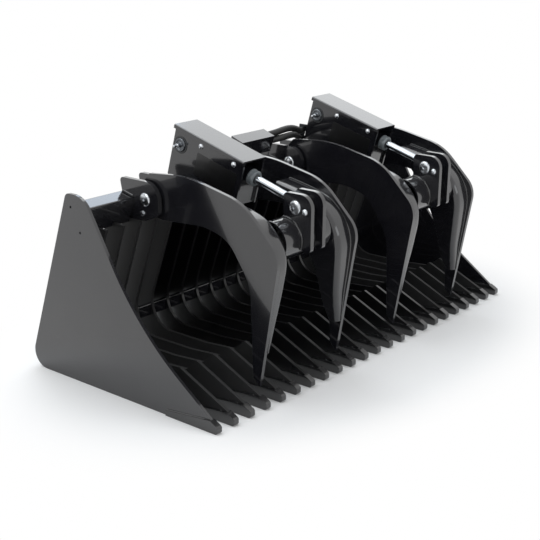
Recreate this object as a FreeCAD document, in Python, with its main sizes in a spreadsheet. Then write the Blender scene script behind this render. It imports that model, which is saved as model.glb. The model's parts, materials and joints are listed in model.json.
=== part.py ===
import FreeCAD, Part

import math
import os

import Sketcher
from FreeCAD import Placement, Rotation, Vector

# Rock grapple for a skid steer, in millimetres.
# X runs across the machine, +Y runs from the tine tips back to the machine, +Z is up.
# The origin is on the floor, in the middle of the outline.
# Side profiles are drawn from the tine tips, and every piece is then moved by tip_line.

DIMENSIONS = {
    # overall
    "width": 1981.2,
    "tip_line": -494.16,
    "weld_gap": 0.3,
    "running_fit": 0.08,
    "back_lean": 20.0,
    # side plates
    "side_plate": 12.7,
    "side_height": 757.0,
    "side_heel": 1033.0,
    "side_heel_radius": 66.0,
    "side_crown_front": 660.0,
    "side_crown_radius": 95.0,
    "side_rear_radius": 26.0,
    "side_waist_along": 392.0,
    "side_waist_height": 301.0,
    "side_waist_radius": 1200.0,
    "side_hole": 10.0,
    "side_hole_upper_along": 733.0,
    "side_hole_upper_height": 706.0,
    "side_hole_lower_along": 686.0,
    "side_hole_lower_height": 614.0,
    # tines
    "tine_count": 21,
    "tine_plate": 12.7,
    "toe_along": 33.0,
    "toe_height": 46.0,
    "hump_along": 268.0,
    "hump_height": 153.0,
    "hump_radius": 10.0,
    "hump_foot": 325.0,
    "floor_height": 93.0,
    "floor_rise": 12.0,
    "floor_break": 480.0,
    "heel_corner": 833.0,
    "heel_radius": 110.0,
    "heel_outer_radius": 100.0,
    "back_depth": 93.0,
    # hardened points under the tine tips
    "point_width": 25.4,
    "point_length": 255.0,
    "point_step": 22.0,
    "point_nose": 2.0,
    "point_nose_height": 28.0,
    "point_nose_radius": 11.0,
    # cross members
    "tube_depth": 76.2,
    "tube_height": 101.6,
    "tube_wall": 6.35,
    "tube_radius": 8.0,
    "tube_lean": 13.5,
    "tube_along": 708.0,
    "tube_low": 599.0,
    "tine_hook": 13.0,
    "heel_bar_along": 789.0,
    "heel_bar_low": 142.0,
    "heel_bar_height": 50.0,
    "heel_bar_plate": 12.7,
    # quick attach plate
    "attach_width": 1143.0,
    "attach_tube_gap": 25.0,
    "attach_plate": 9.5,
    "attach_low": 140.0,
    "hook_reach": 44.0,
    "ledge_reach": 52.0,
    "ledge_drop": 18.0,
    "slot_spacing": 800.0,
    "slot_width": 60.0,
    "slot_depth": 22.0,
    "rib_plate": 12.7,
    # grapple arms
    "grapple_spread": 880.0,
    "arm_spread": 490.0,
    "arm_plate": 15.9,
    "arm_inset": 111.0,
    "inner_plate": 9.5,
    "closing_plate": 9.5,
    "pivot_along": 623.0,
    "pivot_height": 698.0,
    "pivot_pin": 31.75,
    "pivot_boss": 64.0,
    "pivot_ear": 19.0,
    "pivot_ear_gap": 81.0,
    "pivot_side_gap": 1.0,
    "pivot_arm_offset": 8.0,
    "pivot_ear_radius": 72.0,
    "cross_tube": 158.75,
    "cross_tube_wall": 9.5,
    "cross_tube_along": 111.0,
    "cross_tube_height": 591.0,
    # grapple arm outline, from the rear of the pivot over the shoulder to the tip and back
    "arm_rear_rise": 100.0,
    "arm_neck_along": 430.0,
    "arm_neck_height": 815.0,
    "arm_neck_radius": 600.0,
    "arm_shoulder_along": 150.0,
    "arm_shoulder_height": 757.0,
    "arm_shoulder_radius": 250.0,
    "arm_front_along": -24.0,
    "arm_front_height": 585.0,
    "arm_front_radius": 100.0,
    "arm_tip_along": 68.0,
    "arm_tip_height": 62.0,
    "arm_heel_along": 99.0,
    "arm_heel_height": 92.0,
    "arm_palm_along": 112.0,
    "arm_palm_height": 452.0,
    "arm_palm_radius": 200.0,
    "arm_crook_along": 218.0,
    "arm_crook_height": 606.0,
    "arm_crook_radius": 150.0,
    "arm_roof_along": 340.0,
    "arm_roof_height": 636.0,
    "arm_roof_radius": 300.0,
    "arm_underside_along": 560.0,
    "arm_underside_height": 622.0,
    "arm_rear_radius": 40.0,
    # inner plate and the closing plate bent over its front edge
    "box_top_along": 316.0,
    "box_top_height": 742.0,
    "box_brow_along": 86.0,
    "box_brow_height": 692.0,
    "box_brow_radius": 60.0,
    "box_shin_along": 50.0,
    "box_shin_height": 430.0,
    "box_toe_along": 38.0,
    "box_toe_height": 205.0,
    "box_end_along": 62.0,
    "box_end_height": 196.0,
    "box_calf_along": 106.0,
    "box_calf_height": 300.0,
    "box_knee_along": 112.0,
    "box_knee_height": 452.0,
    "box_knee_radius": 150.0,
    "box_crook_along": 205.0,
    "box_crook_height": 594.0,
    # cylinders
    "clevis_along": 64.0,
    "clevis_height": 716.0,
    "clevis_ear": 19.0,
    "clevis_gap": 52.0,
    "clevis_pin": 25.4,
    "clevis_play": 12.8,
    "clevis_rise": 52.0,
    "clevis_nose": 76.0,
    "clevis_nose_radius": 50.0,
    "clevis_back": 9.0,
    "clevis_foot": 121.0,
    "clevis_foot_drop": 52.0,
    "clevis_bolt_back": 46.0,
    "clevis_bolt_drop": 12.0,
    "base_along": 632.0,
    "base_height": 879.0,
    "base_pin": 31.75,
    "base_eye": 68.0,
    "base_eye_width": 66.0,
    "lug_plate": 12.7,
    "lug_gap": 68.0,
    "lug_radius": 40.0,
    "barrel": 63.5,
    "barrel_bore": 50.8,
    "barrel_start": 24.0,
    "barrel_end": 383.0,
    "gland_length": 25.0,
    "rod": 31.75,
    "rod_eye": 62.0,
    "rod_eye_width": 48.0,
    "piston_length": 30.0,
    "port": 22.0,
    "port_length": 14.0,
    "port_inset": 44.0,
    # cylinder guards
    "guard_width": 135.0,
    "guard_sheet": 6.35,
    "guard_top": 71.0,
    "guard_fold": 16.0,
    "guard_back": 41.0,
    "guard_overhang": 6.0,
    "guard_front": 329.0,
    "guard_side": 8.0,
    "guard_back_drop": 141.0,
    "guard_front_drop": 124.0,
    "guard_web": 10.0,
    "guard_bolt_first": 104.0,
    "guard_bolt_second": 280.0,
    "guard_bolt_height": 38.5,
    # fasteners
    "pin_head": 54.0,
    "pin_head_length": 8.0,
    "bolt": 10.0,
    "bolt_head": 17.0,
    "bolt_head_length": 7.0,
    "keeper_reach": 56.0,
    # hose cover and hoses
    "cover_width": 210.0,
    "cover_depth": 67.0,
    "cover_height": 75.0,
    "cover_sheet": 6.0,
    "cover_lean": 20.0,
    "cover_along": 655.0,
    "cover_top": 822.0,
    "hose": 19.0,
    "fitting": 27.0,
    "fitting_length": 22.0,
    "bulkhead_along": 704.0,
    "bulkhead_depth": 42.0,
    "bulkhead_height": 824.0,
    "bulkhead_plate": 8.0,
    "bulkhead_gap": 2.0,
}

document = FreeCAD.newDocument("rock_grapple")
sheet = document.addObject("Spreadsheet::Sheet", "Sizes")
for row, (alias, number) in enumerate(DIMENSIONS.items(), 1):
    sheet.set("A%d" % row, alias)
    sheet.set("B%d" % row, str(number))
    sheet.setAlias("B%d" % row, alias)
document.recompute()


class Size:
    """A number together with the sheet formula that gives it."""

    def __init__(self, value, text=None):
        self.value = float(value)
        self.text = text if text is not None else repr(float(value))

    @staticmethod
    def of(other):
        return other if isinstance(other, Size) else Size(other)

    def __add__(self, other):
        other = Size.of(other)
        return Size(self.value + other.value, "(%s + %s)" % (self.text, other.text))

    def __sub__(self, other):
        other = Size.of(other)
        return Size(self.value - other.value, "(%s - %s)" % (self.text, other.text))

    def __mul__(self, other):
        other = Size.of(other)
        return Size(self.value * other.value, "(%s * %s)" % (self.text, other.text))

    def __truediv__(self, other):
        other = Size.of(other)
        return Size(self.value / other.value, "(%s / %s)" % (self.text, other.text))

    def __neg__(self):
        return Size(0) - self

    __radd__ = __add__

    def __rsub__(self, other):
        return Size.of(other) - self

    __rmul__ = __mul__


def sheet_sizes():
    """Gives every dimension of the sheet as a Size."""
    return {alias: Size(sheet.get(alias), "Sizes.%s" % alias) for alias in DIMENSIONS}


def sine(angle):
    return Size(math.sin(math.radians(angle.value)), "sin(%s * 1 deg)" % angle.text)


def cosine(angle):
    return Size(math.cos(math.radians(angle.value)), "cos(%s * 1 deg)" % angle.text)


def tangent(angle):
    return Size(math.tan(math.radians(angle.value)), "tan(%s * 1 deg)" % angle.text)


S = sheet_sizes()
ZERO = Size(0)
PIECES = []


# Drawing helpers


def place(thing, across, along, height, turn=0.0):
    """Puts a piece at a point, turned about the X axis by an angle in degrees."""
    for axis, size in (("x", across), ("y", along), ("z", height)):
        thing.setExpression("Placement.Base.%s" % axis, Size.of(size).text)
    point = Vector(Size.of(across).value, Size.of(along).value, Size.of(height).value)
    thing.Placement = Placement(point, Rotation(Vector(1, 0, 0), turn))
    return thing


def new_body(name):
    return document.addObject("PartDesign::Body", name)


def sketch_on(body, role, offset=0.0):
    """Adds an empty sketch on one of the body's own origin planes."""
    plane = next(item for item in body.Origin.OriginFeatures if item.Role == role)
    sketch = body.newObject("Sketcher::SketchObject", body.Name + "_sketch")
    sketch.AttachmentSupport = [(plane, "")]
    sketch.MapMode = "FlatFace"
    sketch.AttachmentOffset = Placement(Vector(0, 0, offset), Rotation())
    return sketch


def tie(sketch, kind, *reference):
    """Adds a constraint whose last argument is a Size, bound to the sheet."""
    size = Size.of(reference[-1])
    index = sketch.addConstraint(Sketcher.Constraint(kind, *reference[:-1], size.value))
    sketch.setExpression("Constraints[%d]" % index, size.text)


def draw_polygon(sketch, points):
    """Draws a closed outline and fixes each corner from the origin."""
    first = sketch.GeometryCount
    corners = [(Size.of(a), Size.of(b)) for a, b in points]
    count = len(corners)
    for index, start in enumerate(corners):
        end = corners[(index + 1) % count]
        line = Part.LineSegment(
            Vector(start[0].value, start[1].value, 0), Vector(end[0].value, end[1].value, 0)
        )
        sketch.addGeometry(line, False)
    for index, corner in enumerate(corners):
        following = first + (index + 1) % count
        sketch.addConstraint(Sketcher.Constraint("Coincident", first + index, 2, following, 1))
        tie(sketch, "DistanceX", -1, 1, first + index, 1, corner[0])
        tie(sketch, "DistanceY", -1, 1, first + index, 1, corner[1])


def draw_circle(sketch, along, height, diameter):
    """Draws a circle of a given diameter round a fixed centre."""
    along, height, diameter = Size.of(along), Size.of(height), Size.of(diameter)
    circle = Part.Circle(Vector(along.value, height.value, 0), Vector(0, 0, 1), diameter.value / 2)
    index = sketch.addGeometry(circle, False)
    tie(sketch, "DistanceX", -1, 1, index, 3, along)
    tie(sketch, "DistanceY", -1, 1, index, 3, height)
    tie(sketch, "Diameter", index, diameter)


def pad(body, sketch, length):
    """Pads a sketch along its normal by a Size."""
    sketch.recompute()
    feature = body.newObject("PartDesign::Pad", body.Name + "_pad")
    feature.Profile = sketch
    feature.Length = length.value
    feature.setExpression("Length", length.text)
    feature.recompute()
    return feature


def round_corners(body, corners, radius, axis="x"):
    """Rounds the edges that run along one axis through the given corners."""
    base = body.Tip
    names = []
    wanted = [(Size.of(a).value, Size.of(b).value) for a, b in corners]
    for index, edge in enumerate(base.Shape.Edges, 1):
        start, end = edge.firstVertex().Point, edge.lastVertex().Point
        if axis == "x":
            ends = ((start.y, start.z), (end.y, end.z))
        else:
            ends = ((start.x, start.z), (end.x, end.z))
        if any(max(math.dist(spot, ends[0]), math.dist(spot, ends[1])) < 0.01 for spot in wanted):
            names.append("Edge%d" % index)
    fillet = body.newObject("PartDesign::Fillet", body.Name + "_round")
    fillet.Base = (base, names)
    fillet.Radius = Size.of(radius).value
    fillet.setExpression("Radius", Size.of(radius).text)
    fillet.recompute()
    body.Tip = fillet
    return fillet


def flat_plate(name, outline, thickness, left, holes=(), rounds=()):
    """Makes a plate with a side profile, its left face at a place across the machine."""
    body = new_body(name)
    sketch = sketch_on(body, "YZ_Plane")
    draw_polygon(sketch, outline)
    for hole in holes:
        draw_circle(sketch, *hole)
    pad(body, sketch, thickness)
    for corners, radius in rounds:
        round_corners(body, corners, radius)
    place(body, left, S["tip_line"], 0)
    return body


def cut_through(body, draw):
    """Cuts an opening right through a side profile plate, once its corners are rounded."""
    sketch = sketch_on(body, "YZ_Plane")
    draw(sketch)
    sketch.recompute()
    pocket = body.newObject("PartDesign::Pocket", body.Name + "_opening")
    pocket.Profile = sketch
    pocket.Type = "ThroughAll"
    pocket.Reversed = True
    pocket.recompute()
    body.Tip = pocket


def cylinder_along_x(name, diameter, length, left, along, height):
    """Makes a round bar along X whose centre line is given."""
    bar = document.addObject("Part::Cylinder", name)
    diameter, length = Size.of(diameter), Size.of(length)
    bar.setExpression("Radius", (diameter / 2).text)
    bar.setExpression("Height", length.text)
    for axis, size in (("x", left), ("y", along), ("z", height)):
        bar.setExpression("Placement.Base.%s" % axis, Size.of(size).text)
    spot = Vector(Size.of(left).value, Size.of(along).value, Size.of(height).value)
    bar.Placement = Placement(spot, Rotation(Vector(0, 1, 0), 90))
    return bar


def tube_along_x(name, outer, inner, length, left, along, height):
    """Makes a tube along X from two round bars."""
    outside = cylinder_along_x(name + "_outside", outer, length, left, along, height)
    inside = cylinder_along_x(name + "_inside", inner, length, left, along, height)
    return cut(name, outside, inside)


def cut(name, base, tool):
    result = document.addObject("Part::Cut", name)
    result.Base = base
    result.Tool = tool
    return result


def fuse(name, *pieces):
    result = document.addObject("Part::MultiFuse", name)
    result.Shapes = list(pieces)
    return result


def gather(name, *pieces):
    """Keeps several separate solids together under one name."""
    group = document.addObject("Part::Compound", name)
    group.Links = list(pieces)
    return group


def keep(name, piece):
    """Registers a finished piece under the name that it is written with."""
    piece.Label = name
    PIECES.append((name, piece))
    return piece


def hex_head(name, face, direction, along, height):
    """Makes a hexagon head that stands on a face, on its +X or its -X side."""
    corner = S["bolt_head"] / 2
    body = new_body(name)
    sketch = sketch_on(body, "YZ_Plane")
    points = []
    for step in range(6):
        turn = Size(60 * step)
        points.append((corner * cosine(turn), corner * sine(turn)))
    draw_polygon(sketch, points)
    pad(body, sketch, S["bolt_head_length"])
    left = face if direction > 0 else face - S["bolt_head_length"]
    return place(body, left, along, height)


# Places that several pieces share

PITCH = (S["width"] - S["side_plate"]) / (S["tine_count"] + 1)
LEAN = tangent(S["back_lean"])
SIDE_LEFT = -S["width"] / 2
INSIDE_LEFT = SIDE_LEFT + S["side_plate"]
INSIDE_WIDTH = S["width"] - 2 * S["side_plate"]


def front_of_back(height):
    """The place of the tines' front edge on the back, at a height."""
    return S["heel_corner"] - (height - S["floor_height"]) * LEAN


BACK_OFFSET = S["back_depth"] / cosine(S["back_lean"])
TINE_REAR_FOOT = S["heel_corner"] + S["floor_height"] * LEAN + BACK_OFFSET

TUBE_UP = (-sine(S["tube_lean"]), cosine(S["tube_lean"]))
TUBE_BACK = (cosine(S["tube_lean"]), sine(S["tube_lean"]))


def on_tube(up, back):
    """A point of the top tube's section, measured up its front face and back from it."""
    along = S["tube_along"] + TUBE_UP[0] * up + TUBE_BACK[0] * back
    height = S["tube_low"] + TUBE_UP[1] * up + TUBE_BACK[1] * back
    return (along, height)


# Tines, side plates and cross members


def tine_outline():
    """The side profile of an inner tine, from its toe over the hump to the top tube."""
    floor_z = S["floor_height"]
    foot_z = floor_z + S["floor_rise"]
    rear = TINE_REAR_FOOT - S["tube_low"] * LEAN - S["tube_along"]
    seat = rear / (TUBE_BACK[0] + TUBE_BACK[1] * LEAN)
    return [
        (S["toe_along"], S["toe_height"]),
        (S["hump_along"], S["hump_height"]),
        (S["hump_foot"], foot_z),
        (S["floor_break"], floor_z),
        (S["heel_corner"], floor_z),
        (front_of_back(S["tube_low"] + S["tine_hook"]), S["tube_low"] + S["tine_hook"]),
        on_tube(S["tine_hook"] / TUBE_UP[1], 0),
        (S["tube_along"], S["tube_low"]),
        on_tube(0, seat),
        (TINE_REAR_FOOT, ZERO),
        (S["point_length"], ZERO),
        (S["point_length"], S["point_step"]),
    ]


def point(name):
    """The place along and the height that the sheet gives for a named point."""
    return (S[name + "_along"], S[name + "_height"])


def heel_bar_section(gap):
    """The section of the heel bar, with a gap all round it."""
    front, low = S["heel_bar_along"] - gap, S["heel_bar_low"] - gap
    rear = S["heel_bar_along"] + S["heel_bar_plate"] + gap
    top = S["heel_bar_low"] + S["heel_bar_height"] + gap
    return [(front, low), (front, top), (rear, top), (rear, low)]


def make_tines():
    outline = tine_outline()
    slot = heel_bar_section(S["weld_gap"])
    rounds = [
        ([outline[1]], S["hump_radius"]),
        ([outline[4]], S["heel_radius"]),
        ([outline[9]], S["heel_outer_radius"]),
    ]
    for number in range(1, int(DIMENSIONS["tine_count"]) + 1):
        name = "tine_%02d" % number
        left = SIDE_LEFT + PITCH * number + (S["side_plate"] - S["tine_plate"]) / 2
        plate = flat_plate("plate_%02d" % number, outline, S["tine_plate"], left, (), rounds)
        cut_through(plate, lambda sketch: draw_polygon(sketch, slot))
        keep(name, plate)


def make_tine_points():
    """Hardened wear points, one welded under each tine and side plate."""
    outline = [
        (-S["point_nose"], ZERO),
        (-S["point_nose"], S["point_nose_height"]),
        (S["toe_along"], S["toe_height"]),
        (S["point_length"], S["point_step"]),
        (S["point_length"], ZERO),
    ]
    points = []
    for number in range(int(DIMENSIONS["tine_count"]) + 2):
        left = SIDE_LEFT + PITCH * number + (S["side_plate"] - S["point_width"]) / 2
        rounds = [(outline[:2], S["point_nose_radius"])]
        points.append(flat_plate("point_%02d" % number, outline, S["point_width"], left, (), rounds))
    keep("tine_points", gather("tine_points", *points))


def make_side_plates():
    lean_top = S["side_heel"] - S["side_height"] * LEAN
    outline = [
        (S["toe_along"], S["toe_height"]),
        (S["side_waist_along"], S["side_waist_height"]),
        (S["side_crown_front"], S["side_height"]),
        (lean_top, S["side_height"]),
        (S["side_heel"], ZERO),
        (S["point_length"], ZERO),
        (S["point_length"], S["point_step"]),
    ]
    rounds = [
        ([outline[1]], S["side_waist_radius"]),
        ([outline[2]], S["side_crown_radius"]),
        ([outline[3]], S["side_rear_radius"]),
        ([outline[4]], S["side_heel_radius"]),
    ]
    holes = [
        (S["side_hole_upper_along"], S["side_hole_upper_height"], S["side_hole"]),
        (S["side_hole_lower_along"], S["side_hole_lower_height"], S["side_hole"]),
    ]
    right = S["width"] / 2 - S["side_plate"]
    for name, left in (("side_plate_left", SIDE_LEFT), ("side_plate_right", right)):
        keep(name, flat_plate(name, outline, S["side_plate"], left, holes, rounds))


def make_top_tube():
    """The rectangular torque tube along the top of the back."""
    body = new_body("top_tube")
    sketch = sketch_on(body, "YZ_Plane")
    up, back, wall = S["tube_height"], S["tube_depth"], S["tube_wall"]
    outer = [on_tube(0, 0), on_tube(up, 0), on_tube(up, back), on_tube(0, back)]
    inner = [
        on_tube(wall, wall),
        on_tube(up - wall, wall),
        on_tube(up - wall, back - wall),
        on_tube(wall, back - wall),
    ]
    draw_polygon(sketch, outer)
    draw_polygon(sketch, inner)
    pad(body, sketch, INSIDE_WIDTH)
    round_corners(body, outer[1:], S["tube_radius"])
    place(body, INSIDE_LEFT, S["tip_line"], 0)
    keep("top_tube", body)


def make_heel_bar():
    """The flat bar that runs through a slot in every tine, just above the heel."""
    body = new_body("heel_bar")
    sketch = sketch_on(body, "YZ_Plane")
    draw_polygon(sketch, heel_bar_section(ZERO))
    pad(body, sketch, INSIDE_WIDTH)
    place(body, INSIDE_LEFT, S["tip_line"], 0)
    keep("heel_bar", body)


ATTACH_HEIGHT = (S["tube_low"] - S["attach_low"]) / cosine(S["back_lean"]) - S["attach_tube_gap"]


def attach_point():
    """Where the quick attach plate starts on the tines' rear edges."""
    return (S["tip_line"] + TINE_REAR_FOOT - S["attach_low"] * LEAN, S["attach_low"])


def make_quick_attach():
    """Formed plate with a hook along its top and a slotted ledge along its bottom."""
    plate, reach, ledge = S["attach_plate"], S["hook_reach"], S["ledge_reach"]
    top, drop = ATTACH_HEIGHT, S["ledge_drop"]
    along, height = attach_point()
    body = new_body("attach_plate")
    sketch = sketch_on(body, "YZ_Plane")
    outline = [
        (ZERO, ZERO),
        (ZERO, top),
        (reach, top - reach),
        (reach - plate * 0.7, top - reach - plate * 0.7),
        (plate, top - plate * 2.4),
        (plate, plate),
        (ledge, plate - drop),
        (ledge, -drop),
    ]
    draw_polygon(sketch, outline)
    pad(body, sketch, S["attach_width"])
    slots = sketch_on(body, "XY_Plane", plate.value)
    for side in (-1, 1):
        middle = S["attach_width"] / 2 + side * S["slot_spacing"] / 2
        left, right = middle - S["slot_width"] / 2, middle + S["slot_width"] / 2
        rear = ledge - plate
        front = rear - S["slot_depth"]
        draw_polygon(slots, [(left, front), (right, front), (right, rear), (left, rear)])
    slots.recompute()
    pocket = body.newObject("PartDesign::Pocket", "attach_slots")
    pocket.Profile = slots
    pocket.setExpression("Length", (plate * 2 + drop).text)
    pocket.recompute()
    body.Tip = pocket
    place(body, -S["attach_width"] / 2, along, height, S["back_lean"].value)
    keep("quick_attach_plate", body)
    ribs = []
    rib_outline = [
        (plate, plate),
        (plate, top - plate * 2.4),
        (reach - plate * 0.7, top - reach - plate * 0.7),
        (plate * 2.2, top - reach * 2),
        (plate * 2.2, reach),
        (ledge, plate),
        (ledge, plate - drop),
    ]
    rights = S["attach_width"] / 2 - S["rib_plate"]
    for index, left in enumerate((-S["attach_width"] / 2, rights)):
        rib = new_body("attach_rib_%d" % index)
        sketch = sketch_on(rib, "YZ_Plane")
        draw_polygon(sketch, rib_outline)
        pad(rib, sketch, S["rib_plate"])
        ribs.append(place(rib, left, along, height, S["back_lean"].value))
    keep("quick_attach_ribs", gather("quick_attach_ribs", *ribs))


# Pivots on the top tube

PIVOT = (S["pivot_along"], S["pivot_height"])
BASE = (S["base_along"], S["base_height"])
CLEVIS = (S["clevis_along"], S["clevis_height"])


def grapple_middles():
    return (("left", -S["grapple_spread"] / 2), ("right", S["grapple_spread"] / 2))


def ear_faces(middle, side):
    """Left faces of an arm's two pivot ears, the left one first."""
    arm_outer = S["arm_spread"] / 2 + S["pivot_arm_offset"] + S["pivot_side_gap"]
    near = arm_outer - S["pivot_ear_gap"] - S["pivot_ear"]
    if side < 0:
        return (middle - arm_outer - S["pivot_ear"], middle - near - S["pivot_ear"])
    return (middle + near, middle + arm_outer)


def make_pivot_ears():
    radius = S["pivot_ear_radius"]
    top = S["pivot_height"] + radius
    front = S["pivot_along"] - radius
    foot = S["tine_hook"] + S["pivot_side_gap"]
    outline = [
        (front, top),
        (S["tube_along"] + radius * 0.75, top),
        on_tube(S["tube_height"], S["tube_depth"] * 0.9),
        on_tube(S["tube_height"], 0),
        on_tube(foot / TUBE_UP[1], 0),
        (S["pivot_along"], S["tube_low"] + foot),
        (front, S["pivot_height"] - radius * 0.75),
    ]
    hole = (*PIVOT, S["pivot_pin"] + 2 * S["running_fit"])
    rounds = [([outline[0]], radius), ([outline[1]], radius / 5), ([outline[6]], radius / 2)]
    for label, middle in grapple_middles():
        ears = []
        for side in (-1, 1):
            for index, left in enumerate(ear_faces(middle, side)):
                name = "ear_%s_%d_%d" % (label, side + 1, index)
                ears.append(flat_plate(name, outline, S["pivot_ear"], left, [hole], rounds))
        keep("pivot_ears_%s" % label, gather("pivot_ears_%s" % label, *ears))


def make_pivot_pins():
    """Headed pins through the ears, each held from turning by a keeper bolt."""
    along, height = S["tip_line"] + PIVOT[0], PIVOT[1]
    pins, keepers = [], []
    for label, middle in grapple_middles():
        for side in (-1, 1):
            left, right = ear_faces(middle, side)
            name = "pin_%s_%d" % (label, side + 1)
            length = right - left + S["pivot_ear"] + S["pin_head_length"]
            shaft = cylinder_along_x(name + "_shaft", S["pivot_pin"], length, left, along, height)
            start = left - S["pin_head_length"]
            head = cylinder_along_x(
                name + "_head", S["pin_head"], S["pin_head_length"], start, along, height
            )
            pins.append(fuse(name, shaft, head))
            keeper = (along + S["keeper_reach"] / 4, height - S["keeper_reach"])
            keepers.append(hex_head(name + "_keeper", left - S["weld_gap"], -1, *keeper))
    keep("pivot_pins", gather("pivot_pins", *pins))
    keep("pivot_pin_bolts", gather("pivot_pin_bolts", *keepers))


LUG_REAR = S["tube_depth"] * 0.8


def make_towers():
    """Two lugs on the top tube that carry each cylinder's base pin."""
    radius = S["lug_radius"]
    base_along, base_height = BASE
    outline = [
        (base_along - radius, base_height + radius),
        (base_along + radius, base_height + radius),
        (base_along + radius, base_height - radius),
        on_tube(S["tube_height"], LUG_REAR),
        on_tube(S["tube_height"], 0),
        (base_along - radius, base_height - radius * 0.75),
    ]
    hole = (*BASE, S["base_pin"] + 2 * S["running_fit"])
    rounds = [(outline[:2], radius * 0.98), ([outline[2], outline[5]], radius * 0.6)]
    for label, middle in grapple_middles():
        lefts = (middle - S["lug_gap"] / 2 - S["lug_plate"], middle + S["lug_gap"] / 2)
        lugs = [
            flat_plate("lug_%s_%d" % (label, index), outline, S["lug_plate"], left, [hole], rounds)
            for index, left in enumerate(lefts)
        ]
        keep("tower_lugs_%s" % label, gather("tower_lugs_%s" % label, *lugs))


# Grapple arms


def arm_outline():
    """The side profile of a grapple arm, from the pivot over the shoulder to the tip."""
    pivot_y, pivot_z = PIVOT
    rear = pivot_y + S["pivot_boss"] * 0.75
    return [
        (pivot_y, pivot_z + S["arm_rear_rise"]),
        point("arm_neck"),
        point("arm_shoulder"),
        point("arm_front"),
        point("arm_tip"),
        point("arm_heel"),
        point("arm_palm"),
        point("arm_crook"),
        point("arm_roof"),
        point("arm_underside"),
        (rear, pivot_z - S["pivot_boss"] * 0.9),
        (rear, pivot_z + S["pivot_boss"] * 0.75),
    ]


def arm_rounds(outline):
    """The corners of an arm's outline that are rounded, with their radii."""
    named = {1: "neck", 2: "shoulder", 3: "front", 6: "palm", 7: "crook", 8: "roof"}
    rounds = [([outline[at]], S["arm_%s_radius" % part]) for at, part in named.items()]
    rounds.append((outline[10:12], S["arm_rear_radius"]))
    return rounds


def make_arms(label, middle):
    """Outer plates, inner plates and the bent closing plates of one grapple's two arms."""
    outline = arm_outline()
    rounds = arm_rounds(outline)
    half = S["arm_spread"] / 2
    inner = half - S["arm_inset"]
    spine = [point("box_top"), point("box_brow"), point("box_shin"), point("box_toe")]
    rear = [point("box_end"), point("box_calf"), point("box_knee"), point("box_crook")]
    inner_outline = spine + rear
    step = S["closing_plate"]
    strip = spine + [
        (spine[3][0] + step, spine[3][1]),
        (spine[2][0] + step, spine[2][1]),
        (spine[1][0] + step, spine[1][1] - step),
        (spine[0][0], spine[0][1] - step),
    ]
    plates, boxes = [], []
    for side in (-1, 1):
        tag = "%s_%d" % (label, side + 1)
        left = middle - half if side < 0 else middle + half - S["arm_plate"]
        plate = flat_plate("arm_" + tag, outline, S["arm_plate"], left, (), rounds)
        faces = ear_faces(middle, side)
        start = faces[0] + S["pivot_ear"] + S["pivot_side_gap"]
        length = S["pivot_ear_gap"] - 2 * S["pivot_side_gap"]
        bore = S["pivot_pin"] + 2 * S["running_fit"]
        along, height = S["tip_line"] + PIVOT[0], PIVOT[1]
        boss = cylinder_along_x("boss_" + tag, S["pivot_boss"], length, start, along, height)
        room = cylinder_along_x("boss_bore_" + tag, bore, length, start, along, height)
        plates.append(cut("arm_with_boss_" + tag, fuse("arm_solid_" + tag, plate, boss), room))
        inner_left = middle - inner - S["inner_plate"] if side < 0 else middle + inner
        brow = S["box_brow_radius"]
        rounded = [([spine[1]], brow), ([rear[2]], S["box_knee_radius"])]
        boxes.append(
            flat_plate("inner_" + tag, inner_outline, S["inner_plate"], inner_left, (), rounded)
        )
        width = half - inner - S["inner_plate"] - S["arm_plate"]
        strip_left = middle - half + S["arm_plate"] if side < 0 else inner_left + S["inner_plate"]
        bends = [([strip[1]], brow), ([strip[6]], brow - step)]
        boxes.append(flat_plate("closing_" + tag, strip, width, strip_left, (), bends))
    keep("arm_plates_%s" % label, gather("arm_plates_%s" % label, *plates))
    keep("arm_boxes_%s" % label, gather("arm_boxes_%s" % label, *boxes))


def make_cross_tube(label, middle):
    """The round tube between the arms and the two clevis ears on it."""
    inner = S["arm_spread"] / 2 - S["arm_inset"]
    along = S["tip_line"] + S["cross_tube_along"]
    height = S["cross_tube_height"]
    bore = S["cross_tube"] - 2 * S["cross_tube_wall"]
    tube = tube_along_x(
        "cross_" + label, S["cross_tube"], bore, inner * 2, middle - inner, along, height
    )
    keep("cross_tube_%s" % label, tube)
    top = S["clevis_height"] + S["clevis_rise"]
    rear = S["cross_tube_along"] + S["clevis_back"]
    foot = S["cross_tube_along"] - S["clevis_foot"]
    outline = [
        (S["clevis_along"] - S["clevis_nose"], top),
        (rear, top),
        (rear, height),
        (S["cross_tube_along"], height),
        (foot, height - S["clevis_foot_drop"]),
        (foot, height),
    ]
    hole = (*CLEVIS, S["clevis_pin"] + 2 * S["clevis_play"])
    ears = []
    for side in (-1, 1):
        left = middle - S["clevis_gap"] / 2 - S["clevis_ear"] if side < 0 else middle + S["clevis_gap"] / 2
        ear = flat_plate(
            "clevis_%s_%d" % (label, side + 1),
            outline,
            S["clevis_ear"],
            left,
            [hole],
            [([outline[0]], S["clevis_nose_radius"]), ([outline[1], outline[4]], S["clevis_ear"])],
        )
        saddle = (S["cross_tube_along"], height, S["cross_tube"] + 2 * S["weld_gap"])
        cut_through(ear, lambda sketch: draw_circle(sketch, *saddle))
        ears.append(ear)
    face = middle - S["clevis_gap"] / 2 - S["clevis_ear"]
    bolt = hex_head(
        "clevis_lock_" + label,
        face,
        -1,
        S["tip_line"] + S["clevis_along"] - S["clevis_bolt_back"],
        S["clevis_height"] - S["clevis_bolt_drop"],
    )
    keep("clevis_ears_%s" % label, gather("clevis_ears_%s" % label, *ears, bolt))


# Cylinders and guards, drawn in the cylinder's own frame:
# the origin is the base pin, -Y runs down the rod towards the clevis, Z is square to it.

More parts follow.
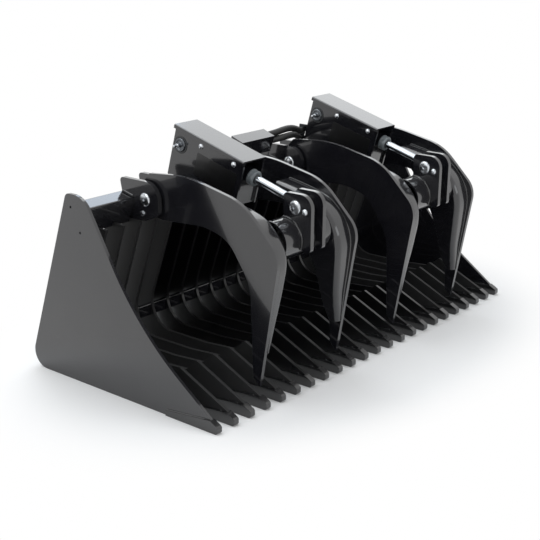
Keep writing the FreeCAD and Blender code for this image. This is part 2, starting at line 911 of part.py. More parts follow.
REACH_ALONG = BASE[0] - CLEVIS[0]
REACH_HEIGHT = BASE[1] - CLEVIS[1]
CYLINDER_TILT = math.degrees(math.atan2(REACH_HEIGHT.value, REACH_ALONG.value))
PIN_TO_PIN = math.hypot(REACH_ALONG.value, REACH_HEIGHT.value)


def on_cylinder(thing, middle):
    """Moves a piece drawn in the cylinder's frame to its place."""
    return place(thing, middle, S["tip_line"] + BASE[0], BASE[1], CYLINDER_TILT)


def bar_along_rod(name, diameter, start, end):
    """A round bar on the cylinder's axis, between two distances from the base pin."""
    body = new_body(name)
    sketch = sketch_on(body, "XZ_Plane", Size.of(start).value)
    draw_circle(sketch, 0, 0, diameter)
    pad(body, sketch, Size.of(end) - Size.of(start))
    return body


def tube_along_rod(name, outer, inner, start, end):
    body = new_body(name)
    sketch = sketch_on(body, "XZ_Plane", Size.of(start).value)
    draw_circle(sketch, 0, 0, outer)
    draw_circle(sketch, 0, 0, inner)
    pad(body, sketch, Size.of(end) - Size.of(start))
    return body


def make_cylinder(label, middle):
    """Barrel with its base eye, gland and two hose ports."""
    eye = new_body("base_eye_" + label)
    sketch = sketch_on(eye, "YZ_Plane")
    draw_circle(sketch, 0, 0, S["base_eye"])
    pad(eye, sketch, S["base_eye_width"])
    place(eye, -S["base_eye_width"] / 2, 0, 0)
    shell = bar_along_rod("barrel_shell_" + label, S["barrel"], 0, S["barrel_end"])
    ports = []
    for index, spot in enumerate((S["port_inset"], S["barrel_end"] - S["port_inset"])):
        port = new_body("port_%s_%d" % (label, index))
        ring = sketch_on(port, "XY_Plane")
        draw_circle(ring, 0, -spot, S["port"])
        pad(port, ring, S["barrel"] / 2 + S["port_length"])
        port.Placement = Placement(Vector(0, -2 * spot.value, 0), Rotation(Vector(1, 0, 0), 180))
        port.setExpression("Placement.Base.y", (-2 * spot).text)
        ports.append(port)
    outside = fuse("barrel_outside_" + label, eye, shell, *ports)
    room = bar_along_rod(
        "barrel_room_" + label, S["barrel_bore"], S["base_eye"] / 2 + S["barrel_start"], S["barrel_end"]
    )
    bore = new_body("base_bore_" + label)
    sketch = sketch_on(bore, "YZ_Plane")
    draw_circle(sketch, 0, 0, S["base_pin"] + 2 * S["weld_gap"])
    pad(bore, sketch, S["base_eye_width"] * 2)
    place(bore, -S["base_eye_width"], 0, 0)
    hollow = fuse("barrel_hollow_" + label, room, bore)
    barrel = cut("barrel_cut_" + label, outside, hollow)
    gland = tube_along_rod(
        "gland_" + label,
        S["barrel_bore"] - 2 * S["weld_gap"],
        S["rod"] + 2 * S["running_fit"],
        S["barrel_end"] - S["gland_length"],
        S["barrel_end"] + S["gland_length"] / 8,
    )
    group = gather("barrel_%s" % label, barrel, gland)
    keep("barrel_%s" % label, on_cylinder(group, middle))


def make_rod(label, middle):
    """Piston, rod and rod eye, with the clevis pin that stays in the eye."""
    reach = Size(PIN_TO_PIN)
    piston_end = S["barrel_end"] - S["gland_length"] - S["piston_length"] / 10
    piston = bar_along_rod(
        "piston_" + label,
        S["barrel_bore"] - 2 * S["running_fit"],
        piston_end - S["piston_length"],
        piston_end,
    )
    shaft = bar_along_rod("shaft_" + label, S["rod"], piston_end - S["piston_length"], reach)
    eye = new_body("rod_eye_" + label)
    sketch = sketch_on(eye, "YZ_Plane")
    draw_circle(sketch, -reach, 0, S["rod_eye"])
    pad(eye, sketch, S["rod_eye_width"])
    place(eye, -S["rod_eye_width"] / 2, 0, 0)
    hole = new_body("rod_bore_" + label)
    sketch = sketch_on(hole, "YZ_Plane")
    draw_circle(sketch, -reach, 0, S["clevis_pin"] + 2 * S["running_fit"])
    pad(hole, sketch, S["rod_eye_width"] * 2)
    place(hole, -S["rod_eye_width"], 0, 0)
    solid = fuse("rod_solid_" + label, piston, shaft, eye)
    keep("rod_%s" % label, on_cylinder(cut("rod_cut_" + label, solid, hole), middle))
    half = S["clevis_gap"] / 2 + S["clevis_ear"]
    pin = new_body("clevis_shaft_" + label)
    sketch = sketch_on(pin, "YZ_Plane")
    draw_circle(sketch, -reach, 0, S["clevis_pin"])
    pad(pin, sketch, half * 2)
    place(pin, -half, 0, 0)
    heads = []
    for index, left in enumerate((-half - S["pin_head_length"] - S["weld_gap"], half + S["weld_gap"])):
        head = new_body("clevis_head_%s_%d" % (label, index))
        sketch = sketch_on(head, "YZ_Plane")
        draw_circle(sketch, -reach, 0, S["pin_head"])
        pad(head, sketch, S["pin_head_length"])
        heads.append(place(head, left, 0, 0))
    collars = []
    for index, left in enumerate((-half - S["weld_gap"], half)):
        collar = new_body("clevis_collar_%s_%d" % (label, index))
        sketch = sketch_on(collar, "YZ_Plane")
        draw_circle(sketch, -reach, 0, S["clevis_pin"])
        pad(collar, sketch, S["weld_gap"])
        collars.append(place(collar, left, 0, 0))
    whole = fuse("clevis_pin_solid_" + label, pin, *heads, *collars)
    keep("clevis_pin_%s" % label, on_cylinder(whole, middle))


def make_guard(label, middle):
    """Folded cover, side plates and front web that swing with the cylinder."""
    half, sheet_size, top = S["guard_width"] / 2, S["guard_sheet"], S["guard_top"]
    cover = new_body("guard_cover_" + label)
    back = S["guard_back"] + S["guard_overhang"]
    sketch = sketch_on(cover, "XZ_Plane", -back.value)
    low = top - S["guard_fold"]
    outline = [
        (-half, low),
        (-half, top),
        (half, top),
        (half, low),
        (half - sheet_size, low),
        (half - sheet_size, top - sheet_size),
        (-half + sheet_size, top - sheet_size),
        (-half + sheet_size, low),
    ]
    draw_polygon(sketch, outline)
    pad(cover, sketch, back + S["guard_front"])
    round_corners(cover, outline[1:3], sheet_size, "y")
    keep("guard_cover_%s" % label, on_cylinder(cover, middle))
    edge = half - sheet_size - S["weld_gap"]
    under = top - sheet_size - S["weld_gap"]
    side_outline = [
        (S["guard_back"], under),
        (-S["guard_front"], under),
        (-S["guard_front"], -S["guard_front_drop"]),
        (S["guard_back"], -S["guard_back_drop"]),
    ]
    holes = [
        (ZERO, ZERO, S["base_pin"] + 2 * S["running_fit"]),
        (-S["guard_bolt_first"], S["guard_bolt_height"], S["bolt"] + 2 * S["running_fit"]),
        (-S["guard_bolt_second"], S["guard_bolt_height"], S["bolt"] + 2 * S["running_fit"]),
    ]
    pieces = []
    for index, left in enumerate((-edge, edge - S["guard_side"])):
        side = new_body("guard_side_%s_%d" % (label, index))
        sketch = sketch_on(side, "YZ_Plane")
        draw_polygon(sketch, side_outline)
        for hole in holes:
            draw_circle(sketch, *hole)
        pad(side, sketch, S["guard_side"])
        pieces.append(place(side, left, 0, 0))
    web = new_body("guard_web_" + label)
    width = edge - S["guard_side"]
    sketch = sketch_on(web, "XZ_Plane", DIMENSIONS["guard_front"] - 2 * DIMENSIONS["guard_web"])
    saddle = S["barrel"] / 4
    draw_polygon(
        sketch,
        [
            (-width, -S["guard_front_drop"]),
            (width, -S["guard_front_drop"]),
            (width, -saddle),
            (-width, -saddle),
        ],
    )
    pad(web, sketch, S["guard_web"])
    bed = bar_along_rod(
        "guard_bed_" + label, S["barrel"] + 2 * S["weld_gap"], 0, S["guard_front"]
    )
    pieces.append(cut("guard_web_cut_" + label, web, bed))
    group = gather("guard_sides_%s" % label, *pieces)
    keep("guard_sides_%s" % label, on_cylinder(group, middle))
    bolts = []
    for index, spot in enumerate((S["guard_bolt_first"], S["guard_bolt_second"])):
        name = "guard_bolt_%s_%d" % (label, index)
        place_of = (-spot, S["guard_bolt_height"])
        head = hex_head(name + "_head", -edge, -1, *place_of)
        nut = hex_head(name + "_nut", edge, 1, *place_of)
        shank = cylinder_along_x(name + "_shank", S["bolt"], edge * 2, -edge, *place_of)
        bolts.append(fuse(name, head, shank, nut))
    group = gather("guard_bolts_%s" % label, *bolts)
    keep("guard_bolts_%s" % label, on_cylinder(group, middle))
    pin = new_body("base_shaft_" + label)
    sketch = sketch_on(pin, "YZ_Plane")
    draw_circle(sketch, 0, 0, S["base_pin"])
    pad(pin, sketch, edge * 2)
    place(pin, -edge, 0, 0)
    heads = []
    for index, left in enumerate((-edge - S["pin_head_length"], edge)):
        head = new_body("base_head_%s_%d" % (label, index))
        sketch = sketch_on(head, "YZ_Plane")
        draw_circle(sketch, 0, 0, S["pin_head"])
        pad(head, sketch, S["pin_head_length"])
        heads.append(place(head, left, 0, 0))
    whole = fuse("base_pin_solid_" + label, pin, *heads)
    keep("base_pin_%s" % label, on_cylinder(whole, middle))


# Hose cover and hoses


def make_hose_cover():
    """Folded channel over the hose joints, closed at its ends by brackets on the top tube."""
    sheet_size, depth, drop = S["cover_sheet"], S["cover_depth"], S["cover_height"]
    body = new_body("cover_channel")
    sketch = sketch_on(body, "YZ_Plane")
    outline = [
        (ZERO, -drop),
        (ZERO, ZERO),
        (depth, ZERO),
        (depth, -drop),
        (depth - sheet_size, -drop),
        (depth - sheet_size, -sheet_size),
        (sheet_size, -sheet_size),
        (sheet_size, -drop),
    ]
    draw_polygon(sketch, outline)
    pad(body, sketch, S["cover_width"])
    along = S["tip_line"] + S["cover_along"]
    place(body, -S["cover_width"] / 2, along, S["cover_top"], S["cover_lean"].value)
    lean_sine, lean_cosine = sine(S["cover_lean"]), cosine(S["cover_lean"])

    def under_cover(back, down):
        y = S["cover_along"] + back * lean_cosine + down * lean_sine
        z = S["cover_top"] + back * lean_sine - down * lean_cosine
        return (y, z)

    inset = sheet_size + S["weld_gap"]
    bracket = [
        under_cover(inset, inset),
        under_cover(depth - inset, inset),
        under_cover(depth - inset, drop),
        on_tube(S["tube_height"], S["tube_depth"] * 0.9),
        on_tube(S["tube_height"], S["tube_depth"] * 0.1),
        under_cover(inset, drop),
    ]
    pieces = [body]
    rights = S["cover_width"] / 2 - sheet_size
    for index, left in enumerate((-S["cover_width"] / 2, rights)):
        pieces.append(flat_plate("cover_bracket_%d" % index, bracket, sheet_size, left))
    keep("hose_cover", gather("hose_cover", *pieces))


HOSE_ROUTES = {
    "hose_upper": [
        (129.2, 706, 818),
        (175, 704, 828),
        (223, 704, 834),
        (274, 708, 833),
        (325, 716, 820),
        (366.2, 722, 800),
    ],
    "hose_lower": [
        (129.4, 717, 788),
        (174, 716, 796),
        (223, 718, 808),
        (274, 723, 808),
        (325, 729, 792),
        (366.0, 728, 768),
    ],
}


def tube_route(points, diameter):
    """Sweeps a round hose along straight runs joined by tangent arcs."""
    corners = [Vector(*point) for point in points]
    edges, radii = [], []
    start = corners[0]
    for before, corner, after in zip(corners, corners[1:], corners[2:]):
        incoming, outgoing = corner - before, after - corner
        turn = incoming.getAngle(outgoing)
        setback = 0.45 * min(incoming.Length, outgoing.Length)
        radius = setback / math.tan(turn / 2)
        radii.append(radius)
        first = corner - incoming.normalize() * setback
        last = corner + outgoing.normalize() * setback
        bisector = (outgoing - incoming).normalize()
        middle = corner + bisector * (radius / math.cos(turn / 2) - radius)
        edges.append(Part.LineSegment(start, first).toShape())
        edges.append(Part.Arc(first, middle, last).toShape())
        start = last
    edges.append(Part.LineSegment(start, corners[-1]).toShape())
    path = Part.Wire(edges)
    direction = corners[1] - corners[0]
    ring = Part.Wire([Part.Circle(corners[0], direction, diameter / 2).toShape()])
    pipe = path.makePipeShell([ring], True, False, 2)
    print("radii", [round(radius) for radius in radii], "least", round(min(radii) / diameter, 1))
    expected = math.pi * diameter ** 2 / 4 * path.Length
    print("volume over section times length", round(pipe.Volume / expected, 4))
    return pipe


def make_hoses():
    """Two hoses from the cover's end to the right tower, with a fitting at each end."""
    bulkhead = S["grapple_spread"] / 2 - S["lug_gap"] / 2 - S["lug_plate"]
    face = bulkhead - S["fitting_length"]
    starts = (S["cover_width"] / 2 + S["weld_gap"], face - S["weld_gap"])
    fittings = []
    for name, points in HOSE_ROUTES.items():
        for index, (left, end) in enumerate(zip(starts, (points[0], points[-1]))):
            label = "%s_fitting_%d" % (name, index)
            along = S["tip_line"] + end[1]
            fittings.append(
                cylinder_along_x(label, S["fitting"], S["fitting_length"], left, along, end[2])
            )
        hose = document.addObject("Part::Feature", name)
        hose.Shape = tube_route(points, S["hose"].value)
        place(hose, 0, S["tip_line"], 0)
        keep(name, hose)
    outline = [
        (S["bulkhead_along"], S["bulkhead_height"]),
        (S["bulkhead_along"] + S["bulkhead_depth"], S["bulkhead_height"]),
        on_tube(S["tube_height"], S["tube_depth"] - S["bulkhead_gap"]),
        on_tube(S["tube_height"], LUG_REAR + S["bulkhead_gap"]),
    ]
    fittings.append(flat_plate("bulkhead", outline, S["bulkhead_plate"], bulkhead))
    keep("hose_fittings", gather("hose_fittings", *fittings))


def build():
    make_tines()
    make_tine_points()
    make_side_plates()
    make_top_tube()
    make_heel_bar()
    make_quick_attach()
    make_pivot_ears()
    make_pivot_pins()
    make_towers()
    for label, middle in grapple_middles():
        make_arms(label, middle)
        make_cross_tube(label, middle)
        make_cylinder(label, middle)
        make_rod(label, middle)
        make_guard(label, middle)
    make_hose_cover()
    make_hoses()
    document.recompute()


def write_pieces():
    """Checks every object and writes each piece to its own file."""
    for thing in document.Objects:
        if "Invalid" in thing.State or "Error" in thing.State:
            raise RuntimeError("%s is %s" % (thing.Name, thing.State))
    os.makedirs("parts", exist_ok=True)
    for name, piece in PIECES:
        shape = piece.Shape
        if shape.isNull() or not shape.isValid() or not shape.Solids:
            raise RuntimeError("%s has no valid solid" % name)
    for name, piece in PIECES:
        piece.Shape.exportStep(os.path.join("parts", name + ".step"))


build()
write_pieces()
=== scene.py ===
"""Studio scene of a rock grapple for a skid steer.

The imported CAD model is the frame. This script dresses its plates, and adds the
cylinders, hoses, bolts, weld beads and the floor.
"""
import json
import logging
import math
from dataclasses import dataclass, field
from enum import Enum
from typing import Sequence

import bmesh
import bpy
from mathutils import Matrix, Vector


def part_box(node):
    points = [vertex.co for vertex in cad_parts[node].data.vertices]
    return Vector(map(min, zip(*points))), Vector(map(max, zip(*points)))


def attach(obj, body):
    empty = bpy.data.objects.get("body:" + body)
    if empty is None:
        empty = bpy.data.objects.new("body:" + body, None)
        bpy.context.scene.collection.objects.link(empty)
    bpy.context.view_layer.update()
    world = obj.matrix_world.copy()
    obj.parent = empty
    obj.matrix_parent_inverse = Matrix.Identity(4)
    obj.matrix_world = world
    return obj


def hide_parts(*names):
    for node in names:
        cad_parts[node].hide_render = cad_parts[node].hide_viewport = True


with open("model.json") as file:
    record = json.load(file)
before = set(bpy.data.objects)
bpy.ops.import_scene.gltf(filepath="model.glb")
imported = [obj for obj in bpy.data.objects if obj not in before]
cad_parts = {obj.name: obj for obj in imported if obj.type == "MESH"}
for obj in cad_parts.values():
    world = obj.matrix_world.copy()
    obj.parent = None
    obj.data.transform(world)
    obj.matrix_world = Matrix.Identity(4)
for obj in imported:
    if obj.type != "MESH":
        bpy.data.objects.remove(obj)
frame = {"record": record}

LOG = logging.getLogger("rock_grapple")
MM = 0.001
SHARP_ANGLE = math.radians(32)
BEAD_SIDES = 8
# Places of the colour sockets on a Mix node that is set to RGBA.
MIX_A, MIX_B, MIX_RESULT = 6, 7, 2
Point = tuple[float, float, float]
Loop = list[bmesh.types.BMVert]
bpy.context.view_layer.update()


class Side(Enum):
    """The two grapples, seen from the front of the machine."""

    LEFT = "left"
    RIGHT = "right"


class Metal(Enum):
    """How much of a surface behaves as bare metal."""

    PAINTED = 0.0
    BARE = 1.0


def linear(hex_colour: str) -> tuple[float, float, float, float]:
    """Turns an sRGB hex colour into linear light.

    Args:
        hex_colour: A colour such as "#1a1b1c".

    Returns:
        The colour as linear red, green, blue and alpha.
    """
    digits = hex_colour.lstrip("#")
    channels = [int(digits[at:at + 2], 16) / 255 for at in (0, 2, 4)]
    return (*[c / 12.92 if c <= 0.04045 else ((c + 0.055) / 1.055) ** 2.4 for c in channels], 1.0)


def add_node(
    material: bpy.types.Material | bpy.types.World,
    kind: str,
    settings: dict[str, object] | None = None,
    links: dict[str, bpy.types.NodeSocket] | None = None,
) -> bpy.types.Node:
    """Adds a node with its settings and its incoming links.

    Args:
        material: The material or world whose node tree is built.
        kind: The node's type name.
        settings: Values by socket name, or by attribute name where no socket has it.
        links: Output sockets by the name of the input that they feed.

    Returns:
        The new node.
    """
    node = material.node_tree.nodes.new(kind)
    for name, value in (settings or {}).items():
        if name in node.inputs:
            node.inputs[name].default_value = value
        else:
            setattr(node, name, value)
    for name, socket in (links or {}).items():
        material.node_tree.links.new(socket, node.inputs[name])
    return node


def white_rays(material: bpy.types.Material | bpy.types.World) -> bpy.types.NodeSocket:
    """Adds nodes that tell which rays see the plain white studio.

    Args:
        material: The material or world whose node tree is built.

    Returns:
        A socket that is 1 for camera, mirrored and transmitted rays, and 0 for all others.
    """
    rays = add_node(material, "ShaderNodeLightPath")
    mirrored = add_node(material, "ShaderNodeMath", {"operation": "MAXIMUM"})
    seen = add_node(material, "ShaderNodeMath", {"operation": "MAXIMUM"})
    wires = material.node_tree.links
    wires.new(rays.outputs["Is Glossy Ray"], mirrored.inputs[0])
    wires.new(rays.outputs["Is Transmission Ray"], mirrored.inputs[1])
    wires.new(rays.outputs["Is Camera Ray"], seen.inputs[0])
    wires.new(mirrored.outputs[0], seen.inputs[1])
    return seen.outputs[0]


@dataclass(frozen=True)
class Finish:
    """A finish with a grain in its colour, roughness and bump."""

    name: str
    colour: str
    worn_colour: str
    metal: Metal
    roughness: float
    roughness_spread: float
    grain_mm: float
    bump_mm: float
    cloud_mm: float = 160.0
    coat: float = 0.0
    coat_roughness: float = 0.05
    edge_mm: float = 1.2
    bump_strength: float = 0.35

    def build(self) -> bpy.types.Material:
        """Builds the node material.

        Returns:
            The finished material.
        """
        material = bpy.data.materials.new(self.name)
        material.use_nodes = True
        material.node_tree.nodes.clear()
        place = add_node(material, "ShaderNodeTexCoord")
        cloud = add_node(
            material,
            "ShaderNodeTexNoise",
            {"Scale": 1 / (self.cloud_mm * MM), "Detail": 5.0, "Roughness": 0.6},
            {"Vector": place.outputs["Object"]},
        )
        grain = add_node(
            material,
            "ShaderNodeTexNoise",
            {"Scale": 1 / (self.grain_mm * MM), "Detail": 2.0, "Roughness": 0.5},
            {"Vector": place.outputs["Object"]},
        )
        patches = add_node(
            material,
            "ShaderNodeMapRange",
            {"From Min": 0.42, "From Max": 0.62, "To Min": 0.0, "To Max": 1.0},
            {"Value": cloud.outputs["Fac"]},
        )
        colour = add_node(
            material,
            "ShaderNodeMix",
            {"data_type": "RGBA"},
            {"Factor": patches.outputs["Result"]},
        )
        colour.inputs[MIX_A].default_value = linear(self.colour)
        colour.inputs[MIX_B].default_value = linear(self.worn_colour)
        roughness = add_node(
            material,
            "ShaderNodeMapRange",
            {
                "To Min": self.roughness - self.roughness_spread,
                "To Max": self.roughness + self.roughness_spread,
            },
            {"Value": cloud.outputs["Fac"]},
        )
        edge = add_node(material, "ShaderNodeBevel", {"samples": 4, "Radius": self.edge_mm * MM})
        bump = add_node(
            material,
            "ShaderNodeBump",
            {"Strength": self.bump_strength, "Distance": self.bump_mm * MM},
            {"Height": grain.outputs["Fac"], "Normal": edge.outputs["Normal"]},
        )
        shader = add_node(
            material,
            "ShaderNodeBsdfPrincipled",
            {
                "Metallic": self.metal.value,
                "Coat Weight": self.coat,
                "Coat Roughness": self.coat_roughness,
            },
            {
                "Base Color": colour.outputs[MIX_RESULT],
                "Roughness": roughness.outputs["Result"],
                "Normal": bump.outputs["Normal"],
            },
        )
        add_node(material, "ShaderNodeOutputMaterial", {}, {"Surface": shader.outputs["BSDF"]})
        return material


# Black powder coat on laser-cut plate: a wet gloss that mirrors the floor, with faint orange peel.
POWDER_COAT = Finish(
    "black powder coat", "#151519", "#1b1b1e", Metal.PAINTED,
    roughness=0.16, roughness_spread=0.05, grain_mm=3.2, bump_mm=0.012,
    cloud_mm=210.0, coat=0.8, coat_roughness=0.03,
)
# The same coat inside the rows of tines: satin where the powder reaches thinly, with soft reflections.
# Its colour is darker than the main coat's: painted shade between the tines.
RECESS_COAT_PAINTED_SHADE = Finish(
    "powder coat with painted recess shade", "#070709", "#0c0c0d", Metal.PAINTED,
    roughness=0.3, roughness_spread=0.06, grain_mm=2.4, bump_mm=0.02,
    cloud_mm=120.0, coat=0.3, coat_roughness=0.1, edge_mm=2.0,
)
# The coat on the outermost tines, which face away from the spray gun: thinner and satin, with a colour darker
# than the main coat as painted shade.
THIN_COAT_PAINTED_SHADE = Finish(
    "thin powder coat with painted shade", "#070709", "#0c0c0d", Metal.PAINTED,
    roughness=0.7, roughness_spread=0.05, grain_mm=2.4, bump_mm=0.03,
    cloud_mm=120.0, edge_mm=2.0,
)
# Quenched wear bar under the same coat, laid thinner and dulled where the floor rubs it.
WEAR_BAR = Finish(
    "coated wear bar", "#0e0e10", "#141415", Metal.PAINTED,
    roughness=0.2, roughness_spread=0.05, grain_mm=1.8, bump_mm=0.02,
    cloud_mm=70.0, coat=0.8, coat_roughness=0.04, edge_mm=2.2,
)
# Grey machine enamel on the gland and ports: a shade paler than the coat, with a soft gloss.
GLAND_PAINT = Finish(
    "grey machine enamel", "#6c7376", "#7a8083", Metal.PAINTED,
    roughness=0.3, roughness_spread=0.06, grain_mm=1.6, bump_mm=0.02,
    cloud_mm=18.0, coat=0.5,
)
# Weld bead under powder coat: the same black over a rippled bead.
WELD = Finish(
    "coated weld bead", "#151617", "#1e1f20", Metal.PAINTED,
    roughness=0.2, roughness_spread=0.06, grain_mm=1.2, bump_mm=0.08,
    cloud_mm=30.0, coat=1.0, coat_roughness=0.08, edge_mm=0.4,
)
# Bright zinc plating on bolts and pins: pale silver with a slight mottle.
ZINC = Finish(
    "bright zinc plate", "#d9dce0", "#b4b8bd", Metal.BARE,
    roughness=0.24, roughness_spread=0.06, grain_mm=0.9, bump_mm=0.012,
    cloud_mm=14.0, edge_mm=0.5,
)
# Manganese phosphate on the base pins: charcoal steel that only shines on its edges.
PHOSPHATE = Finish(
    "phosphated pin steel", "#55585c", "#6a6d70", Metal.BARE,
    roughness=0.34, roughness_spread=0.08, grain_mm=0.9, bump_mm=0.03,
    cloud_mm=10.0, edge_mm=0.8,
)
# Black zinc on the hose fittings and swivels: near black metal with a soft sheen.
BLACK_ZINC = Finish(
    "black zinc plate", "#26282a", "#303234", Metal.BARE,
    roughness=0.36, roughness_spread=0.06, grain_mm=0.9, bump_mm=0.02,
    cloud_mm=10.0, edge_mm=0.6,
)
# Ground hard chrome: a near mirror with a fine lay round the rod.
CHROME = Finish(
    "hard chrome", "#b4b9be", "#a3a8ad", Metal.BARE,
    roughness=0.09, roughness_spread=0.03, grain_mm=0.6, bump_mm=0.004,
    cloud_mm=60.0, edge_mm=0.4,
)
# Calendered hose rubber: matt black with the wrap's cross marks.
RUBBER = Finish(
    "hose rubber", "#141414", "#1d1d1c", Metal.PAINTED,
    roughness=0.55, roughness_spread=0.08, grain_mm=1.1, bump_mm=0.25,
    cloud_mm=25.0, edge_mm=0.3,
)
# Urethane wiper lip in the gland: dull dark grey.
WIPER = Finish(
    "urethane wiper", "#232527", "#2b2d2f", Metal.PAINTED,
    roughness=0.5, roughness_spread=0.05, grain_mm=0.8, bump_mm=0.02,
    cloud_mm=10.0, edge_mm=0.3,
)
# Plain black vinyl patch: a little blacker and sleeker than the coat round it.
VINYL = Finish(
    "plain black vinyl", "#0b0b0c", "#0e0e0f", Metal.PAINTED,
    roughness=0.3, roughness_spread=0.03, grain_mm=3.0, bump_mm=0.01,
    cloud_mm=90.0, coat=0.2, edge_mm=0.2,
)


class Paints:
    """Builds each finish once and hands it out."""

    def __init__(self) -> None:
        self.made: dict[str, bpy.types.Material] = {}

    def get(self, finish: Finish) -> bpy.types.Material:
        """Returns a finish's material, built on first use."""
        if finish.name not in self.made:
            self.made[finish.name] = finish.build()
        return self.made[finish.name]


PAINTS = Paints()


def joint_point(name: str) -> Vector:
    """Returns the place of a joint in the record, in metres."""
    joints = frame["record"]["behaviour"]["joints"]
    return Vector(next(joint["pos_m"] for joint in joints if joint["name"] == name))


def facing_turn(facing: int) -> Matrix:
    """Returns the turn that points local X to the right for 1 and to the left for -1."""
    return Matrix.Rotation(0.0 if facing > 0 else math.pi, 4, "Z")


def make_piece(
    name: str, shape: bmesh.types.BMesh, finish: Finish, body: str
) -> bpy.types.Object:
    """Turns a finished shape into a piece that rides on a body.

    Args:
        name: The piece's name.
        shape: Its geometry in the frame's coordinates. It is freed here.
        finish: The finish that it is given.
        body: The body it rides on.

    Returns:
        The new object.
    """
    mesh = bpy.data.meshes.new(name)
    bmesh.ops.recalc_face_normals(shape, faces=shape.faces)
    shape.to_mesh(mesh)
    shape.free()
    mesh.materials.append(PAINTS.get(finish))
    mesh.shade_smooth()
    mesh.set_sharp_from_angle(angle=SHARP_ANGLE)
    piece = bpy.data.objects.new(name, mesh)
    bpy.context.scene.collection.objects.link(piece)
    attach(piece, body)
    LOG.info("piece %s rides on %s", name, body)
    return piece


def turned_loops(
    shape: bmesh.types.BMesh, section: Sequence[tuple[float, float]], matrix: Matrix, segments: int
) -> list[Loop]:
    """Turns each point of a section round the local X axis.

    Args:
        shape: The mesh that the vertices are added to.
        section: Pairs of place along the axis and radius, in metres.
        matrix: Carries the local axis to its place.
        segments: How many vertices go round.

    Returns:
        One loop of vertices for each point.
    """
    turns = [2 * math.pi * step / segments for step in range(segments)]
    return [
        [
            shape.verts.new(matrix @ Vector((along, radius * math.cos(turn), radius * math.sin(turn))))
            for turn in turns
        ]
        for along, radius in section
    ]


def bridge(shape: bmesh.types.BMesh, loops: Sequence[Loop]) -> None:
    """Lays a skin of quads between neighbouring loops of vertices."""
    for near, far in zip(loops, loops[1:]):
        for step in range(len(near)):
            after = (step + 1) % len(near)
            shape.faces.new((near[step], near[after], far[after], far[step]))


def lathe(
    shape: bmesh.types.BMesh,
    profile: Sequence[tuple[float, float]],
    matrix: Matrix,
    segments: int = 48,
) -> None:
    """Turns a profile round the local X axis and closes both ends.

    Args:
        shape: The mesh that the faces are added to.
        profile: Pairs of place along the axis and radius, in metres.
        matrix: Carries the local axis to its place.
        segments: How many faces go round.
    """
    loops = turned_loops(shape, profile, matrix, segments)
    bridge(shape, loops)
    for loop in (loops[0], loops[-1]):
        shape.faces.new(loop)


def ring_profile(
    start: float, end: float, inner: float, outer: float, chamfer: float
) -> list[tuple[float, float]]:
    """Returns the closed section of a chamfered ring, from its bore round to its bore."""
    return [
        (start, inner),
        (start, outer - chamfer),
        (start + chamfer, outer),
        (end - chamfer, outer),
        (end, outer - chamfer),
        (end, inner),
    ]


def ring(
    shape: bmesh.types.BMesh,
    section: Sequence[tuple[float, float]],
    matrix: Matrix,
    segments: int = 48,
) -> None:
    """Turns a closed section round the local X axis, leaving its bore open.

    Args:
        shape: The mesh that the faces are added to.
        section: Pairs of place along the axis and radius, in metres.
        matrix: Carries the local axis to its place.
        segments: How many faces go round.
    """
    loops = turned_loops(shape, section, matrix, segments)
    bridge(shape, [*loops, loops[0]])


def bead(shape: bmesh.types.BMesh, path: Sequence[Vector], width: float, pitch: float = 0.0035) -> None:
    """Lays a rippled weld bead along a path.

    Args:
        shape: The mesh that the faces are added to.
        path: The points that the bead follows.
        width: The bead's radius in metres.
        pitch: The distance between two ripples in metres.
    """
    dense = []
    for start, end in zip(path, path[1:]):
        count = max(1, round((end - start).length / (pitch / 2)))
        dense.extend(start.lerp(end, step / count) for step in range(count))
    dense.append(path[-1])
    turns = [2 * math.pi * step / BEAD_SIDES for step in range(BEAD_SIDES)]
    loops = []
    for index, spot in enumerate(dense):
        before, after = dense[max(index - 1, 0)], dense[min(index + 1, len(dense) - 1)]
        forward = (after - before).normalized()
        across = forward.orthogonal().normalized()
        upward = forward.cross(across)
        ends = 0.45 if index in (0, len(dense) - 1) else 1.0
        radius = width * ends * (1.0 if index % 2 else 0.86)
        loops.append([
            shape.verts.new(spot + radius * (math.cos(turn) * across + math.sin(turn) * upward))
            for turn in turns
        ])
    for near, far in zip(loops, loops[1:]):
        shift = min(range(BEAD_SIDES), key=lambda offset: (near[0].co - far[offset].co).length)
        far[:] = far[shift:] + far[:shift]
    bridge(shape, loops)
    for loop in (loops[0], loops[-1]):
        shape.faces.new(loop)


def circle_path(centre: Vector, radius: float, start: float = 0.0, end: float = 360.0) -> list[Vector]:
    """Returns points round the X axis, from one angle to another in degrees."""
    count = max(12, round(abs(end - start) / 7.5))
    turns = [math.radians(start + (end - start) * step / count) for step in range(count + 1)]
    return [centre + Vector((0, radius * math.cos(turn), radius * math.sin(turn))) for turn in turns]


def hexagon(shape: bmesh.types.BMesh, matrix: Matrix, across: float, height: float, washer: float) -> None:
    """Builds a chamfered hexagon head on a round washer, standing along local X.

    Args:
        shape: The mesh that the faces are added to.
        matrix: Carries the washer's underside to its place.
        across: The width across the flats in metres.
        height: The head's height in metres.
        washer: The washer's radius in metres.
    """
    thick = washer * 0.16
    lathe(shape, [(0, washer), (thick * 0.8, washer), (thick, washer * 0.96), (thick, across * 0.3)], matrix)
    corner = across / math.sqrt(3)
    section = [(thick, corner), (thick + height * 0.82, corner), (thick + height, corner * 0.84)]
    lathe(shape, section, matrix, 6)


